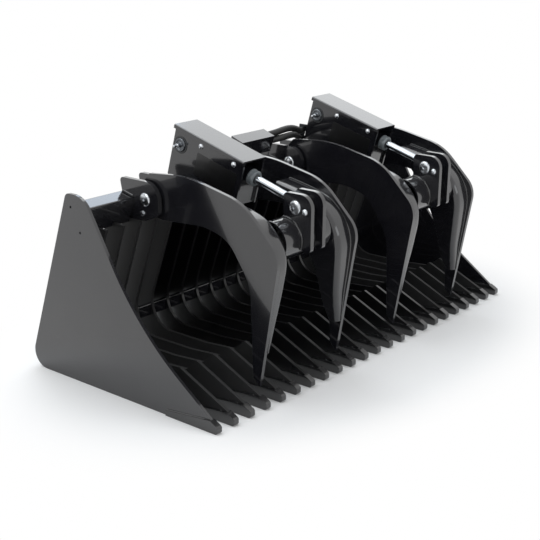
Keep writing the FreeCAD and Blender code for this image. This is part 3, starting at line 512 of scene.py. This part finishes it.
def dome(shape: bmesh.types.BMesh, matrix: Matrix, radius: float, height: float, socket: float) -> None:
    """Builds a button head on its flange, with a round recess in the crown, standing along local X.

    Args:
        shape: The mesh that the faces are added to.
        matrix: Carries the flange's underside to its place.
        radius: The flange's radius in metres.
        height: The head's height in metres.
        socket: The recess's radius in metres.
    """
    flange, crown = height * 0.14, radius * 0.93
    profile = [(0.0, radius), (flange, radius), (flange * 1.3, crown)]
    for step in range(1, 9):
        turn = math.pi / 2 * step / 8
        place = crown * math.cos(turn)
        if place > socket * 1.25:
            profile.append((flange * 1.3 + (height - flange * 1.3) * math.sin(turn), place))
    profile += [(height, socket * 1.15), (height * 0.96, socket), (height * 0.55, socket * 0.9)]
    lathe(shape, profile, matrix, 40)


@dataclass
class CylinderFrame:
    """The line from a cylinder's base pin to its clevis pin."""

    side: Side
    base: Vector = field(init=False)
    clevis: Vector = field(init=False)
    matrix: Matrix = field(init=False)

    def __post_init__(self) -> None:
        """Reads the two pins from the record's joints."""
        self.base = joint_point(f"cylinder_{self.side.value}_pivot")
        self.clevis = joint_point(f"ram_{self.side.value}_slide")
        down_rod = (self.clevis - self.base).normalized()
        across = Vector((1, 0, 0))
        square = across.cross(down_rod)
        turn = Matrix((down_rod, across, -square)).transposed().to_4x4()
        self.matrix = Matrix.Translation(self.base) @ turn

    @property
    def length(self) -> float:
        """The distance between the two pins."""
        return (self.clevis - self.base).length

    def across(self, along: float, height: float, offset: float = 0.0) -> Matrix:
        """Returns a matrix whose local X runs across the machine from a place on the cylinder."""
        spot = self.matrix @ Vector((along, offset, height))
        return Matrix.Translation(spot)


@dataclass
class HydraulicCylinder:
    """Barrel, gland, rod and eyes of one cylinder."""

    side: Side
    barrel_radius: float = 31.75 * MM
    rod_radius: float = 15.875 * MM
    barrel_end: float = 354 * MM
    eye_radius: float = 34 * MM
    eye_width: float = 66 * MM
    rod_eye_radius: float = 31 * MM
    rod_eye_width: float = 48 * MM
    rod_eye_bore: float = 12.8 * MM
    rod_in_barrel: float = 60 * MM
    gland_length: float = 24 * MM
    port_places: tuple[float, float] = (44 * MM, 300 * MM)

    def build(self) -> None:
        """Builds the barrel group and the rod group."""
        line = CylinderFrame(self.side)
        self.build_barrel(line)
        self.build_gland(line)
        self.build_rod(line)

    def build_barrel(self, line: CylinderFrame) -> None:
        """Builds the painted barrel with its welded base eye."""
        shape = bmesh.new()
        start, end, radius = self.eye_radius * 0.7, self.barrel_end - self.gland_length, self.barrel_radius
        profile = [
            (start, radius * 0.6),
            (start, radius * 0.97),
            (start + 3 * MM, radius),
            (end, radius),
            (end, radius * 0.8),
        ]
        lathe(shape, profile, line.matrix, 64)
        eye = ring_profile(-self.eye_width / 2, self.eye_width / 2, 16 * MM, self.eye_radius, 1.5 * MM)
        ring(shape, eye, line.across(0, 0))
        body = f"cylinder_{self.side.value}"
        piece = make_piece(f"barrel_tube_{self.side.value}", shape, POWDER_COAT, body)
        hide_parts(f"barrel_{self.side.value}")

    def build_gland(self, line: CylinderFrame) -> None:
        """Builds the screwed gland with its hose port bosses and wiper."""
        body = f"cylinder_{self.side.value}"
        start = self.barrel_end - self.gland_length
        shape = bmesh.new()
        section = ring_profile(
            start, self.barrel_end + 2 * MM, self.rod_radius * 1.2, self.barrel_radius * 0.965, 2 * MM
        )
        ring(shape, section, line.matrix, 64)
        collar = ring_profile(start - 2 * MM, start + 7 * MM, self.rod_radius * 1.3, self.barrel_radius, MM)
        ring(shape, collar, line.matrix, 64)
        self.add_ports(shape, line)
        make_piece(f"gland_{self.side.value}", shape, GLAND_PAINT, body)
        shape = bmesh.new()
        lip = [
            (self.barrel_end, self.rod_radius * 1.01),
            (self.barrel_end, self.rod_radius * 1.3),
            (self.barrel_end + 3 * MM, self.rod_radius * 1.24),
            (self.barrel_end + 5 * MM, self.rod_radius * 1.04),
        ]
        ring(shape, lip, line.matrix)
        make_piece(f"rod_wiper_{self.side.value}", shape, WIPER, body)

    def add_ports(self, shape: bmesh.types.BMesh, line: CylinderFrame) -> None:
        """Adds the two open hose ports that stand under the barrel."""
        turn = line.matrix.to_3x3().to_4x4() @ Matrix.Rotation(math.pi / 2, 4, "Y")
        boss = ring_profile(self.barrel_radius * 0.9, self.barrel_radius + 14 * MM, 6 * MM, 11 * MM, 1.5 * MM)
        for along in self.port_places:
            seat = Matrix.Translation(line.matrix @ Vector((along, 0, 0))) @ turn
            ring(shape, boss, seat, 32)

    def build_rod(self, line: CylinderFrame) -> None:
        """Builds the chrome rod and the painted rod eye with its weld."""
        body = f"ram_{self.side.value}"
        reach = line.length
        shape = bmesh.new()
        rod = [
            (self.barrel_end - self.rod_in_barrel, self.rod_radius),
            (reach - self.rod_eye_radius * 0.97, self.rod_radius),
        ]
        lathe(shape, rod, line.matrix, 64)
        shaft = make_piece(f"chrome_rod_{self.side.value}", shape, CHROME, body)
        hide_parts(f"rod_{self.side.value}")
        shape = bmesh.new()
        half = self.rod_eye_width / 2
        eye = ring_profile(-half, half, self.rod_eye_bore, self.rod_eye_radius, 2 * MM)
        ring(shape, eye, line.across(reach, 0))
        make_piece(f"rod_eye_{self.side.value}", shape, POWDER_COAT, body)
        shape = bmesh.new()
        seat = Matrix.Translation(line.matrix @ Vector((reach - self.rod_eye_radius * 0.94, 0, 0)))
        turned = seat @ line.matrix.to_3x3().to_4x4()
        turns = [math.radians(10 * step) for step in range(37)]
        path = [
            turned @ Vector((-MM, self.rod_radius * math.cos(turn), self.rod_radius * math.sin(turn)))
            for turn in turns
        ]
        bead(shape, path, 3 * MM)
        make_piece(f"rod_weld_{self.side.value}", shape, WELD, body)


@dataclass
class GuardFasteners:
    """Bolts, base pin heads, grease nipple and the plain patch on one cylinder guard."""

    side: Side
    plate_face: float = 60.85 * MM
    bolt_places: tuple[float, float] = (104 * MM, 280 * MM)
    bolt_height: float = 38.5 * MM
    head_radius: float = 11.5 * MM
    head_height: float = 7 * MM
    head_socket: float = 2.6 * MM
    shank_radius: float = 15 * MM
    pin_radius: float = 27 * MM
    seal_width: float = 8 * MM
    # The nipple's places out from the plate and its radii there, in millimetres.
    nipple: tuple[tuple[float, float], ...] = (
        (5, 8), (22, 8), (23, 6), (31, 4.2), (34, 5.6), (39, 5), (41, 2),
    )
    # The patch's reach along the cylinder and its reach up from the line of pins.
    patch_along: tuple[float, float] = (92 * MM, 306 * MM)
    patch_up: tuple[float, float] = (-88 * MM, 8 * MM)
    patch_corner: float = 4 * MM
    patch_gap: float = 0.3 * MM
    patch_film: float = 0.2 * MM

    def build(self) -> None:
        """Builds each kind of fastener and the patch."""
        line = CylinderFrame(self.side)
        body = f"cylinder_{self.side.value}"
        self.build_bolts(line, body)
        self.build_base_pin(line, body)
        self.build_nipple(line, body)
        self.build_patch(line, body)

    def build_bolts(self, line: CylinderFrame, body: str) -> None:
        """Builds the button heads on both side plates."""
        shape = bmesh.new()
        for place in self.bolt_places:
            for facing in (-1, 1):
                spot = line.across(place, self.bolt_height, facing * self.plate_face)
                dome(shape, spot @ facing_turn(facing), self.head_radius, self.head_height, self.head_socket)
        piece = make_piece(f"guard_bolt_heads_{self.side.value}", shape, ZINC, body)
        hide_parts(f"guard_bolts_{self.side.value}")

    def build_base_pin(self, line: CylinderFrame, body: str) -> None:
        """Builds the base pin with a dished head and a seal at both ends."""
        shape = bmesh.new()
        seals = bmesh.new()
        shank = [(-self.plate_face, self.shank_radius), (self.plate_face, self.shank_radius)]
        lathe(shape, shank, line.across(0, 0))
        radius = self.pin_radius
        head = [
            (0, radius), (4.5 * MM, radius), (7 * MM, radius - 2.5 * MM), (7 * MM, radius * 0.72),
            (5 * MM, radius * 0.66), (5 * MM, radius * 0.42), (7.5 * MM, radius * 0.34), (7.5 * MM, 3 * MM),
        ]
        seal = ring_profile(0, 1.8 * MM, radius, radius + self.seal_width, 0.6 * MM)
        for facing in (-1, 1):
            turned = line.across(0, 0, facing * self.plate_face) @ facing_turn(facing)
            lathe(shape, head, turned)
            ring(seals, seal, turned)
        piece = make_piece(f"base_pin_heads_{self.side.value}", shape, PHOSPHATE, body)
        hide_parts(f"base_pin_{self.side.value}")
        make_piece(f"base_pin_seals_{self.side.value}", seals, WIPER, body)

    def build_nipple(self, line: CylinderFrame, body: str) -> None:
        """Builds the grease nipple in the left pin head."""
        shape = bmesh.new()
        spot = line.across(0, 0, -self.plate_face) @ facing_turn(-1)
        lathe(shape, [(out * MM, radius * MM) for out, radius in self.nipple], spot, 20)
        make_piece(f"grease_nipple_{self.side.value}", shape, ZINC, body)

    def build_patch(self, line: CylinderFrame, body: str) -> None:
        """Lays a plain black patch on the left side plate."""
        shape = bmesh.new()
        (start, end), (low, high) = self.patch_along, self.patch_up
        corners = [(start, low), (end, low), (end, high), (start, high)]
        face = -self.plate_face - self.patch_gap
        verts = [shape.verts.new(line.matrix @ Vector((along, face, up))) for along, up in corners]
        shape.faces.new(verts)
        bmesh.ops.bevel(shape, geom=shape.verts[:], offset=self.patch_corner, segments=5, affect="VERTICES")
        bmesh.ops.solidify(shape, geom=shape.faces[:], thickness=self.patch_film)
        make_piece(f"plain_patch_{self.side.value}", shape, VINYL, body)


@dataclass
class GrappleBoxes:
    """The bent sheets that close one grapple's two arms into tapering boxes."""

    side: Side
    plate_face: float = 229.1 * MM
    sheet: float = 9.5 * MM
    bend: float = 24 * MM
    bend_steps: int = 6
    station_steps: int = 4
    seam_inset: float = 1.5 * MM
    seam_radius: float = 3.4 * MM
    seam_pitch: float = 7 * MM
    # Each station from the pivot end down to the tip, in millimetres: the front edge's place along Y and its
    # height, the rear edge's place along Y and its height, and the box's width there.
    stations: tuple[tuple[float, float, float, float, float], ...] = (
        (-178.2, 742.0, -178.2, 727.0, 85.6),
        (-255.0, 727.5, -218.0, 679.0, 85.6),
        (-325.0, 711.0, -255.0, 635.0, 85.6),
        (-378.0, 692.0, -285.0, 596.0, 85.6),
        (-418.0, 664.0, -308.0, 560.0, 85.6),
        (-454.0, 625.0, -328.0, 525.0, 85.6),
        (-480.0, 575.0, -345.0, 490.0, 85.0),
        (-488.0, 520.0, -358.0, 455.0, 80.0),
        (-480.0, 445.0, -368.0, 415.0, 72.0),
        (-470.5, 380.0, -377.0, 372.0, 64.0),
        (-462.0, 325.0, -384.0, 325.0, 56.0),
        (-457.0, 280.0, -390.0, 281.0, 47.0),
        (-453.5, 240.0, -398.0, 242.0, 38.0),
        (-449.5, 197.0, -412.0, 199.0, 28.0),
    )

    def build(self) -> None:
        """Builds both boxes as one piece in the place of the CAD plates."""
        shape = bmesh.new()
        middle = joint_point(f"grapple_{self.side.value}_pivot").x
        for hand in (-1, 1):
            self.loft(shape, middle + hand * self.plate_face, -hand)
        name = self.side.value
        body = f"grapple_{name}"
        piece = make_piece(f"grapple_boxes_{name}", shape, POWDER_COAT, body)
        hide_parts(f"arm_boxes_{name}")
        seams = bmesh.new()
        inset = self.seam_inset
        for hand in (-1, 1):
            across = middle + hand * (self.plate_face - inset)
            path = [
                Vector((across, front_y * MM - inset, front_z * MM + inset))
                for front_y, front_z, *_ in self.smooth_stations()
            ]
            bead(seams, path, self.seam_radius, self.seam_pitch)
        make_piece(f"grapple_seams_{name}", seams, WELD, body)

    def loft(self, shape: bmesh.types.BMesh, start: float, inward: int) -> None:
        """Runs the bent sheet's section through smooth stations.

        Args:
            shape: The mesh that the faces are added to.
            start: Where the outer plate's inner face is across the part, in metres.
            inward: 1 or -1, the way from the outer plate to the inner one.
        """
        loops = []
        for station in self.smooth_stations():
            front_y, front_z, rear_y, rear_z, width = (value * MM for value in station)
            front, rear = Vector((0, front_y, front_z)), Vector((0, rear_y, rear_z))
            depth = (rear - front).length
            back = (rear - front).normalized()
            loops.append([
                shape.verts.new(front + back * down + Vector((start + inward * across, 0, 0)))
                for across, down in self.section(width, depth)
            ])
        bridge(shape, loops)
        for loop in (loops[0], loops[-1]):
            shape.faces.new(loop)

    def section(self, width: float, depth: float) -> list[tuple[float, float]]:
        """Returns the bent sheet's outline: across from the outer plate, then back from the front edge."""
        sheet = min(self.sheet, 0.6 * width, 0.6 * depth)
        bend = max(min(self.bend, 0.8 * width, 0.9 * depth), sheet * 1.05)
        turns = [math.pi / 2 * step / self.bend_steps for step in range(self.bend_steps + 1)]
        outer = [(width - bend + bend * math.sin(turn), bend - bend * math.cos(turn)) for turn in turns]
        small = bend - sheet
        inner = [(width - bend + small * math.sin(turn), bend - small * math.cos(turn)) for turn in turns]
        return [(0.0, 0.0), *outer, (width, depth), (width - sheet, depth), *reversed(inner), (0.0, sheet)]

    def smooth_stations(self) -> list[tuple[float, ...]]:
        """Returns the stations with smooth steps between them, on a Catmull-Rom curve."""
        rows = [self.stations[0], *self.stations, self.stations[-1]]
        smooth = []
        for first, start, end, last in zip(rows, rows[1:], rows[2:], rows[3:]):
            for step in range(self.station_steps):
                t = step / self.station_steps
                smooth.append(tuple(
                    0.5 * (
                        2 * b + (c - a) * t
                        + (2 * a - 5 * b + 4 * c - d) * t * t
                        + (3 * b - a - 3 * c + d) * t ** 3
                    )
                    for a, b, c, d in zip(first, start, end, last)
                ))
        return smooth + [tuple(self.stations[-1])]


@dataclass
class PinEnds:
    """The pivot pins and clevis pins with their domed heads and lock bolts."""

    head_radius: float = 27 * MM
    head_height: float = 8 * MM
    pivot_radius: float = 15.8 * MM
    clevis_radius: float = 12.7 * MM
    clevis_face: float = 45.3 * MM
    ear_faces: tuple[float, float] = (-273 * MM, 154 * MM)
    ear_span: float = 119 * MM
    pivot_socket: float = 4 * MM
    clevis_socket: float = 5 * MM
    keeper_across: float = 17 * MM
    keeper_height: float = 5.5 * MM
    keeper_washer: float = 11 * MM
    lock_ahead: float = 46 * MM
    lock_drop: float = 12 * MM
    lock_radius: float = 12.5 * MM
    lock_height: float = 8.5 * MM
    lock_socket: float = 2.6 * MM

    def build(self) -> None:
        """Builds every pin and bolt head."""
        self.build_pivot_pins()
        self.build_keepers()
        for side in Side:
            self.build_clevis_pin(side)
            self.build_lock_bolt(side)

    def build_pivot_pins(self) -> None:
        """Builds the four pivot pins, headed on the left."""
        shape = bmesh.new()
        for side in Side:
            pivot = joint_point(f"grapple_{side.value}_pivot")
            for face in self.ear_faces:
                left = Matrix.Translation(pivot + Vector((face, 0, 0)))
                lathe(shape, [(0, self.pivot_radius), (self.ear_span, self.pivot_radius)], left)
                dome(shape, left @ facing_turn(-1), self.head_radius, self.head_height, self.pivot_socket)
        piece = make_piece("pivot_pins_turned", shape, ZINC, "bucket")
        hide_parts("pivot_pins")

    def build_keepers(self) -> None:
        """Builds the keeper bolt under each pivot pin's head."""
        shape = bmesh.new()
        low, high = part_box("pivot_pin_bolts")
        height = (low[2] + high[2]) / 2
        along = (low[1] + high[1]) / 2
        for side in Side:
            middle = joint_point(f"grapple_{side.value}_pivot").x
            for face in self.ear_faces:
                spot = Matrix.Translation((middle + face, along, height)) @ facing_turn(-1)
                hexagon(shape, spot, self.keeper_across, self.keeper_height, self.keeper_washer)
        piece = make_piece("keeper_bolt_heads", shape, ZINC, "bucket")
        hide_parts("pivot_pin_bolts")

    def build_clevis_pin(self, side: Side) -> None:
        """Builds the pin through the rod eye, with a domed head at both ends."""
        shape = bmesh.new()
        centre = joint_point(f"ram_{side.value}_slide")
        for facing in (-1, 1):
            spot = Matrix.Translation(centre + Vector((facing * self.clevis_face, 0, 0)))
            dome(shape, spot @ facing_turn(facing), self.head_radius, self.head_height, self.clevis_socket)
        start = Matrix.Translation(centre - Vector((self.clevis_face, 0, 0)))
        lathe(shape, [(0, self.clevis_radius), (2 * self.clevis_face, self.clevis_radius)], start)
        piece = make_piece(f"clevis_pin_turned_{side.value}", shape, ZINC, f"ram_{side.value}")
        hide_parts(f"clevis_pin_{side.value}")

    def build_lock_bolt(self, side: Side) -> None:
        """Caps the lock bolt on the left clevis ear, ahead of the pin's head."""
        shape = bmesh.new()
        aside = Vector((-self.clevis_face, -self.lock_ahead, -self.lock_drop))
        spot = Matrix.Translation(joint_point(f"ram_{side.value}_slide") + aside) @ facing_turn(-1)
        dome(shape, spot, self.lock_radius, self.lock_height, self.lock_socket)
        make_piece(f"clevis_lock_cap_{side.value}", shape, ZINC, f"grapple_{side.value}")


@dataclass
class Hose:
    """One hose of the cylinder circuit, from the cover to the right tower."""

    name: str
    route: tuple[Point, ...]
    radius: float = 9.5 * MM
    sleeve_radius: float = 14.5 * MM
    crimps: tuple[float, ...] = (6 * MM, 12 * MM, 18 * MM)

    def build(self, tip_line: float) -> None:
        """Builds the hose as a smooth tube and its crimped ends.

        Args:
            tip_line: Where the tines' tips are along Y, in metres.
        """
        curve = bpy.data.curves.new(self.name, "CURVE")
        curve.dimensions = "3D"
        spline = curve.splines.new("NURBS")
        spline.points.add(len(self.route) - 1)
        for point, (x, y, z) in zip(spline.points, self.route):
            point.co = (x * MM, y * MM + tip_line, z * MM, 1)
        spline.order_u = 3
        spline.use_endpoint_u = True
        curve.resolution_u = 16
        curve.bevel_depth = self.sleeve_radius
        curve.bevel_resolution = 8
        curve.materials.append(PAINTS.get(RUBBER))
        piece = bpy.data.objects.new(f"{self.name}_tube", curve)
        bpy.context.scene.collection.objects.link(piece)
        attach(piece, "bucket")
        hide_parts(self.name)
        self.build_ends(tip_line)

    def build_ends(self, tip_line: float) -> None:
        """Builds a crimped ferrule and a hexagon swivel at each end of the hose."""
        shape = bmesh.new()
        points = [Vector((x * MM, y * MM + tip_line, z * MM)) for x, y, z in self.route]
        for end, inner in ((points[0], points[1]), (points[-1], points[-2])):
            inward = (inner - end).normalized()
            turn = Vector((1, 0, 0)).rotation_difference(inward).to_matrix().to_4x4()
            spot = Matrix.Translation(end) @ turn
            ferrule = ring_profile(-2 * MM, 26 * MM, self.radius * 0.9, self.radius * 1.32, 1.5 * MM)
            ring(shape, ferrule, spot)
            for crimp in self.crimps:
                groove = ring_profile(crimp, crimp + 3 * MM, self.radius, self.radius * 1.38, 0.8 * MM)
                ring(shape, groove, spot)
            outward = -1 if inward.x > 0 else 1
            base = Matrix.Translation(end) @ facing_turn(outward)
            lathe(shape, [(-2 * MM, 11 * MM), (9 * MM, 11 * MM), (9 * MM, 8 * MM), (23 * MM, 8 * MM)], base)
            lathe(shape, [(1 * MM, 14 * MM), (13 * MM, 14 * MM), (14 * MM, 12.6 * MM)], base, 6)
        make_piece(f"{self.name}_swivels", shape, BLACK_ZINC, "bucket")


@dataclass
class WeldBeads:
    """The visible weld beads of the bucket and of the two grapples.

    Bare places are in millimetres: across from the middle, back from the tine tips, and up from the floor.
    """

    tip_line: float
    leg: float = 3.2 * MM
    coarse_pitch: float = 6 * MM
    point_bars: int = 23
    bar_line: tuple[tuple[float, float], ...] = ((62, 44), (150, 34), (252, 23))
    # The left and right faces of the ears and lugs, from each grapple's middle, and the tube's top under them.
    left_faces: tuple[float, ...] = (-273, -173, 154, 254, -46.7, 34)
    right_faces: tuple[float, ...] = (-254, -154, 173, 273, -34, 46.7)
    tube_line: tuple[tuple[float, float], ...] = ((687, 705), (748, 720))
    heel_edge: tuple[float, float] = (787.5, 189.5)
    heel_start: float = 8
    heel_length: float = 73.5
    heel_leg: float = 3.6 * MM
    cross_tube: tuple[float, float] = (111, 591)
    cross_tube_faces: tuple[float, ...] = (-133, 133)
    clevis_faces: tuple[float, ...] = (-47.5, -23.5, 23.5, 47.5)
    pivot: tuple[float, float] = (623, 698)
    boss_faces: tuple[float, ...] = (-246, 246, -228, 228)
    pitch: float = 89.4773 * MM
    half_width: float = 984.25 * MM
    tine_half: float = 6.35 * MM

    def at(self, across: float, along: float, height: float) -> Vector:
        """Turns a place in millimetres from the tine tips into the frame's metres."""
        return Vector((across * MM, along * MM + self.tip_line, height * MM))

    def build(self) -> None:
        """Builds every group of beads."""
        self.build_points()
        self.build_tube()
        self.build_heel()
        for side in Side:
            self.build_grapple(side)

    def build_points(self) -> None:
        """Runs a bead along each wear bar, on both faces of its tine."""
        shape = bmesh.new()
        for number in range(self.point_bars):
            middle = (-self.half_width + self.pitch * number) / MM
            for face in (-1, 1):
                across = middle + face * (self.tine_half / MM + 1.0)
                bead(shape, [self.at(across, *place) for place in self.bar_line], self.leg, self.coarse_pitch)
        make_piece("wear_bar_welds", shape, WELD, "bucket")

    def build_tube(self) -> None:
        """Runs beads where ears and lugs meet the top tube."""
        shape = bmesh.new()
        for side in Side:
            middle = joint_point(f"grapple_{side.value}_pivot").x / MM
            for faces, outward in ((self.left_faces, -1.5), (self.right_faces, 1.5)):
                for face in faces:
                    across = middle + face + outward
                    bead(shape, [self.at(across, *place) for place in self.tube_line], self.leg)
        make_piece("top_tube_welds", shape, WELD, "bucket")

    def build_heel(self) -> None:
        """Runs a short bead along the heel bar's top edge in each gap between tines."""
        shape = bmesh.new()
        for number in range(self.point_bars - 1):
            start = (-self.half_width + self.pitch * number) / MM + self.heel_start
            path = [self.at(start, *self.heel_edge), self.at(start + self.heel_length, *self.heel_edge)]
            bead(shape, path, self.heel_leg, self.coarse_pitch)
        make_piece("heel_bar_welds", shape, WELD, "bucket")

    def build_grapple(self, side: Side) -> None:
        """Runs beads round the cross tube, the clevis ears and the pivot bosses."""
        shape = bmesh.new()
        middle = joint_point(f"grapple_{side.value}_pivot").x / MM
        for face in self.cross_tube_faces:
            centre = self.at(middle + face, *self.cross_tube)
            for start, end in ((-75, 75), (75, 118)):
                bead(shape, circle_path(centre, 80.5 * MM, start, end), self.leg)
        for face in self.clevis_faces:
            centre = self.at(middle + face, *self.cross_tube)
            bead(shape, circle_path(centre, 81 * MM, 82, 205), 5 * MM, 7 * MM)
        for face in self.boss_faces:
            bead(shape, circle_path(self.at(middle + face, *self.pivot), 33.5 * MM), self.leg)
        make_piece(f"grapple_welds_{side.value}", shape, WELD, f"grapple_{side.value}")


@dataclass
class CadPlates:
    """Dresses the nodes that keep their CAD shape."""

    outer_tines: tuple[str, ...] = tuple(f"tine_{number:02d}" for number in (*range(1, 6), *range(17, 22)))
    finishes: dict[str, Finish] = field(
        default_factory=lambda: {
            "black_powder_coat": POWDER_COAT,
            "wear_steel": WEAR_BAR,
            "zinc": ZINC,
            "chrome_rod": CHROME,
            "hose_rubber": RUBBER,
        }
    )

    def build(self) -> None:
        """Gives each CAD node the finish of its material slot."""
        slots = {part["node"]: part["material_slot"] for part in frame["record"]["subparts"]}
        for node, slot in slots.items():
            piece = bpy.data.objects.get(node)
            if piece is None:
                LOG.warning("node %s has no object", node)
                continue
            piece.data.materials.clear()
            piece.data.materials.append(PAINTS.get(self.finish_for(node, slot)))

    def finish_for(self, node: str, slot: str) -> Finish:
        """Returns the finish of a node: tines and hose fittings have their own."""
        if node == "hose_fittings":
            return BLACK_ZINC
        # Coated tines get a darker colour than the main coat: painted shade between them.
        if node.startswith("tine_") and slot == "black_powder_coat":
            return THIN_COAT_PAINTED_SHADE if node in self.outer_tines else RECESS_COAT_PAINTED_SHADE
        return self.finishes[slot]


@dataclass(frozen=True)
class Softbox:
    """A soft rectangular light that faces a point, in daylight unless it has a tint of its own."""

    name: str
    place: Point
    target: Point
    size: tuple[float, float]
    watts: float
    tint: Point = (0.93, 0.97, 1.0)

    def build(self) -> None:
        """Hangs the light, unseen by the camera."""
        light = bpy.data.lights.new(self.name, "AREA")
        light.color = self.tint
        light.shape = "RECTANGLE"
        light.size, light.size_y = self.size
        light.energy = self.watts
        lamp = bpy.data.objects.new(self.name, light)
        lamp.location = self.place
        lamp.visible_camera = False
        aim = Vector(self.target) - Vector(self.place)
        lamp.rotation_euler = aim.to_track_quat("-Z", "Y").to_euler()
        bpy.context.scene.collection.objects.link(lamp)


@dataclass
class Studio:
    """Pale floor, soft lights and the camera."""

    camera_place: Point = (-3.602, -2.928, 1.758)
    forward: Point = (0.7275, 0.6113, -0.3116)
    focal_px: float = 1115.8
    image_px: float = 540.0
    centre_drop_px: float = 6.29
    sensor_mm: float = 36.0
    floor_reach: tuple[float, float] = (1.6, 1.1)
    floor_fade: float = 0.3
    floor_half: float = 30.0
    ambient: float = 0.6
    # The sky panel is small and blue, and stands where the top tube's flat face mirrors it.
    softboxes: tuple[Softbox, ...] = (
        Softbox("top softbox", (-0.4, 0.9, 3.6), (0.0, 0.0, 0.3), (4.2, 3.0), 90.0),
        Softbox("rear softbox", (3.2, 2.1, 2.9), (-0.3, 0.1, 0.7), (3.4, 2.2), 22.0),
        Softbox("sky panel", (1.5, 2.45, 3.0), (-0.95, 0.2, 0.75), (1.5, 1.1), 4.6, (0.45, 0.68, 1.0)),
        Softbox("left softbox", (-4.6, 0.6, 2.6), (0.0, 0.0, 0.2), (2.2, 1.6), 22.0),
        Softbox("front softbox", (0.8, -4.4, 2.1), (0.0, 0.0, 0.4), (3.2, 1.6), 25.0),
    )

    def build(self) -> None:
        """Builds the floor, the world, the lights and the camera."""
        self.build_floor()
        self.build_world()
        for softbox in self.softboxes:
            softbox.build()
        self.build_camera()

    def build_floor(self) -> None:
        """Builds a wide pale floor that holds the shadow and fades to plain white away from the part."""
        mesh = bpy.data.meshes.new("studio_floor")
        half = self.floor_half
        corners = [(-half, -half, 0), (half, -half, 0), (half, half, 0), (-half, half, 0)]
        mesh.from_pydata(corners, [], [(0, 1, 2, 3)])
        floor = bpy.data.objects.new("studio_floor", mesh)
        bpy.context.scene.collection.objects.link(floor)
        floor.location.z = -0.0005
        mesh.materials.append(self.floor_material())

    def floor_material(self) -> bpy.types.Material:
        """Builds the floor's paint: matt near the part, and white of strength 1 where only paper is seen."""
        material = bpy.data.materials.new("white studio floor")
        material.use_nodes = True
        material.node_tree.nodes.clear()
        place = add_node(material, "ShaderNodeTexCoord")
        reach = add_node(
            material,
            "ShaderNodeMapping",
            {"Scale": (1 / self.floor_reach[0], 1 / self.floor_reach[1], 0.0)},
            {"Vector": place.outputs["Object"]},
        )
        middle = add_node(
            material,
            "ShaderNodeTexGradient",
            {"gradient_type": "SPHERICAL"},
            {"Vector": reach.outputs["Vector"]},
        )
        fade = add_node(
            material,
            "ShaderNodeMapRange",
            {"interpolation_type": "SMOOTHSTEP", "From Max": self.floor_fade, "To Min": 1.0, "To Max": 0.0},
            {"Value": middle.outputs["Fac"]},
        )
        share = add_node(material, "ShaderNodeMath", {"operation": "MULTIPLY"})
        wires = material.node_tree.links
        wires.new(fade.outputs["Result"], share.inputs[0])
        wires.new(white_rays(material), share.inputs[1])
        matt = add_node(
            material, "ShaderNodeBsdfPrincipled", {"Base Color": linear("#f4f4f4"), "Roughness": 0.75}
        )
        paper = add_node(material, "ShaderNodeEmission", {"Color": (1.0, 1.0, 1.0, 1.0), "Strength": 1.0})
        mixed = add_node(material, "ShaderNodeMixShader", {}, {"Fac": share.outputs[0]})
        wires.new(matt.outputs[0], mixed.inputs[1])
        wires.new(paper.outputs[0], mixed.inputs[2])
        add_node(material, "ShaderNodeOutputMaterial", {}, {"Surface": mixed.outputs[0]})
        return material

    def build_world(self) -> None:
        """Makes the background white to the camera and in reflections, and softer as light."""
        world = bpy.data.worlds.new("white studio")
        bpy.context.scene.world = world
        world.use_nodes = True
        background = world.node_tree.nodes["Background"]
        background.inputs["Color"].default_value = (1, 1, 1, 1)
        strength = add_node(
            world,
            "ShaderNodeMapRange",
            {"To Min": self.ambient, "To Max": 1.0},
            {"Value": white_rays(world)},
        )
        world.node_tree.links.new(strength.outputs["Result"], background.inputs["Strength"])

    def build_camera(self) -> None:
        """Places the camera where the photograph was taken from."""
        data = bpy.data.cameras.new("photo camera")
        data.sensor_width = self.sensor_mm
        data.lens = self.focal_px / self.image_px * self.sensor_mm
        data.shift_y = self.centre_drop_px / self.image_px
        camera = bpy.data.objects.new("photo camera", data)
        camera.location = self.camera_place
        camera.rotation_euler = Vector(self.forward).to_track_quat("-Z", "Y").to_euler()
        bpy.context.scene.collection.objects.link(camera)
        bpy.context.scene.camera = camera


# Points of each hose in millimetres: across from the middle, back from the tine tips, and up from the floor.
HOSE_ROUTES: dict[str, tuple[Point, ...]] = {
    "hose_upper": (
        (129.2, 706, 818), (175, 704, 821), (223, 704, 826),
        (274, 708, 826), (325, 716, 816), (366.2, 722, 800),
    ),
    "hose_lower": (
        (129.4, 717, 788), (174, 696, 793), (223, 688, 798),
        (274, 692, 798), (325, 712, 788), (366.0, 728, 768),
    ),
}


def main() -> None:
    """Builds the sub-assemblies in order."""
    logging.basicConfig(level=logging.INFO, format="%(name)s %(message)s")
    tip_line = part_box("tine_points")[0][1] + 2 * MM
    CadPlates().build()
    for side in Side:
        HydraulicCylinder(side).build()
        GuardFasteners(side).build()
        GrappleBoxes(side).build()
    PinEnds().build()
    for name, route in HOSE_ROUTES.items():
        Hose(name, route).build(tip_line)
    WeldBeads(tip_line).build()
    Studio().build()
    bpy.context.scene.view_settings.view_transform = "Standard"


if __name__ == "__main__":
    main()
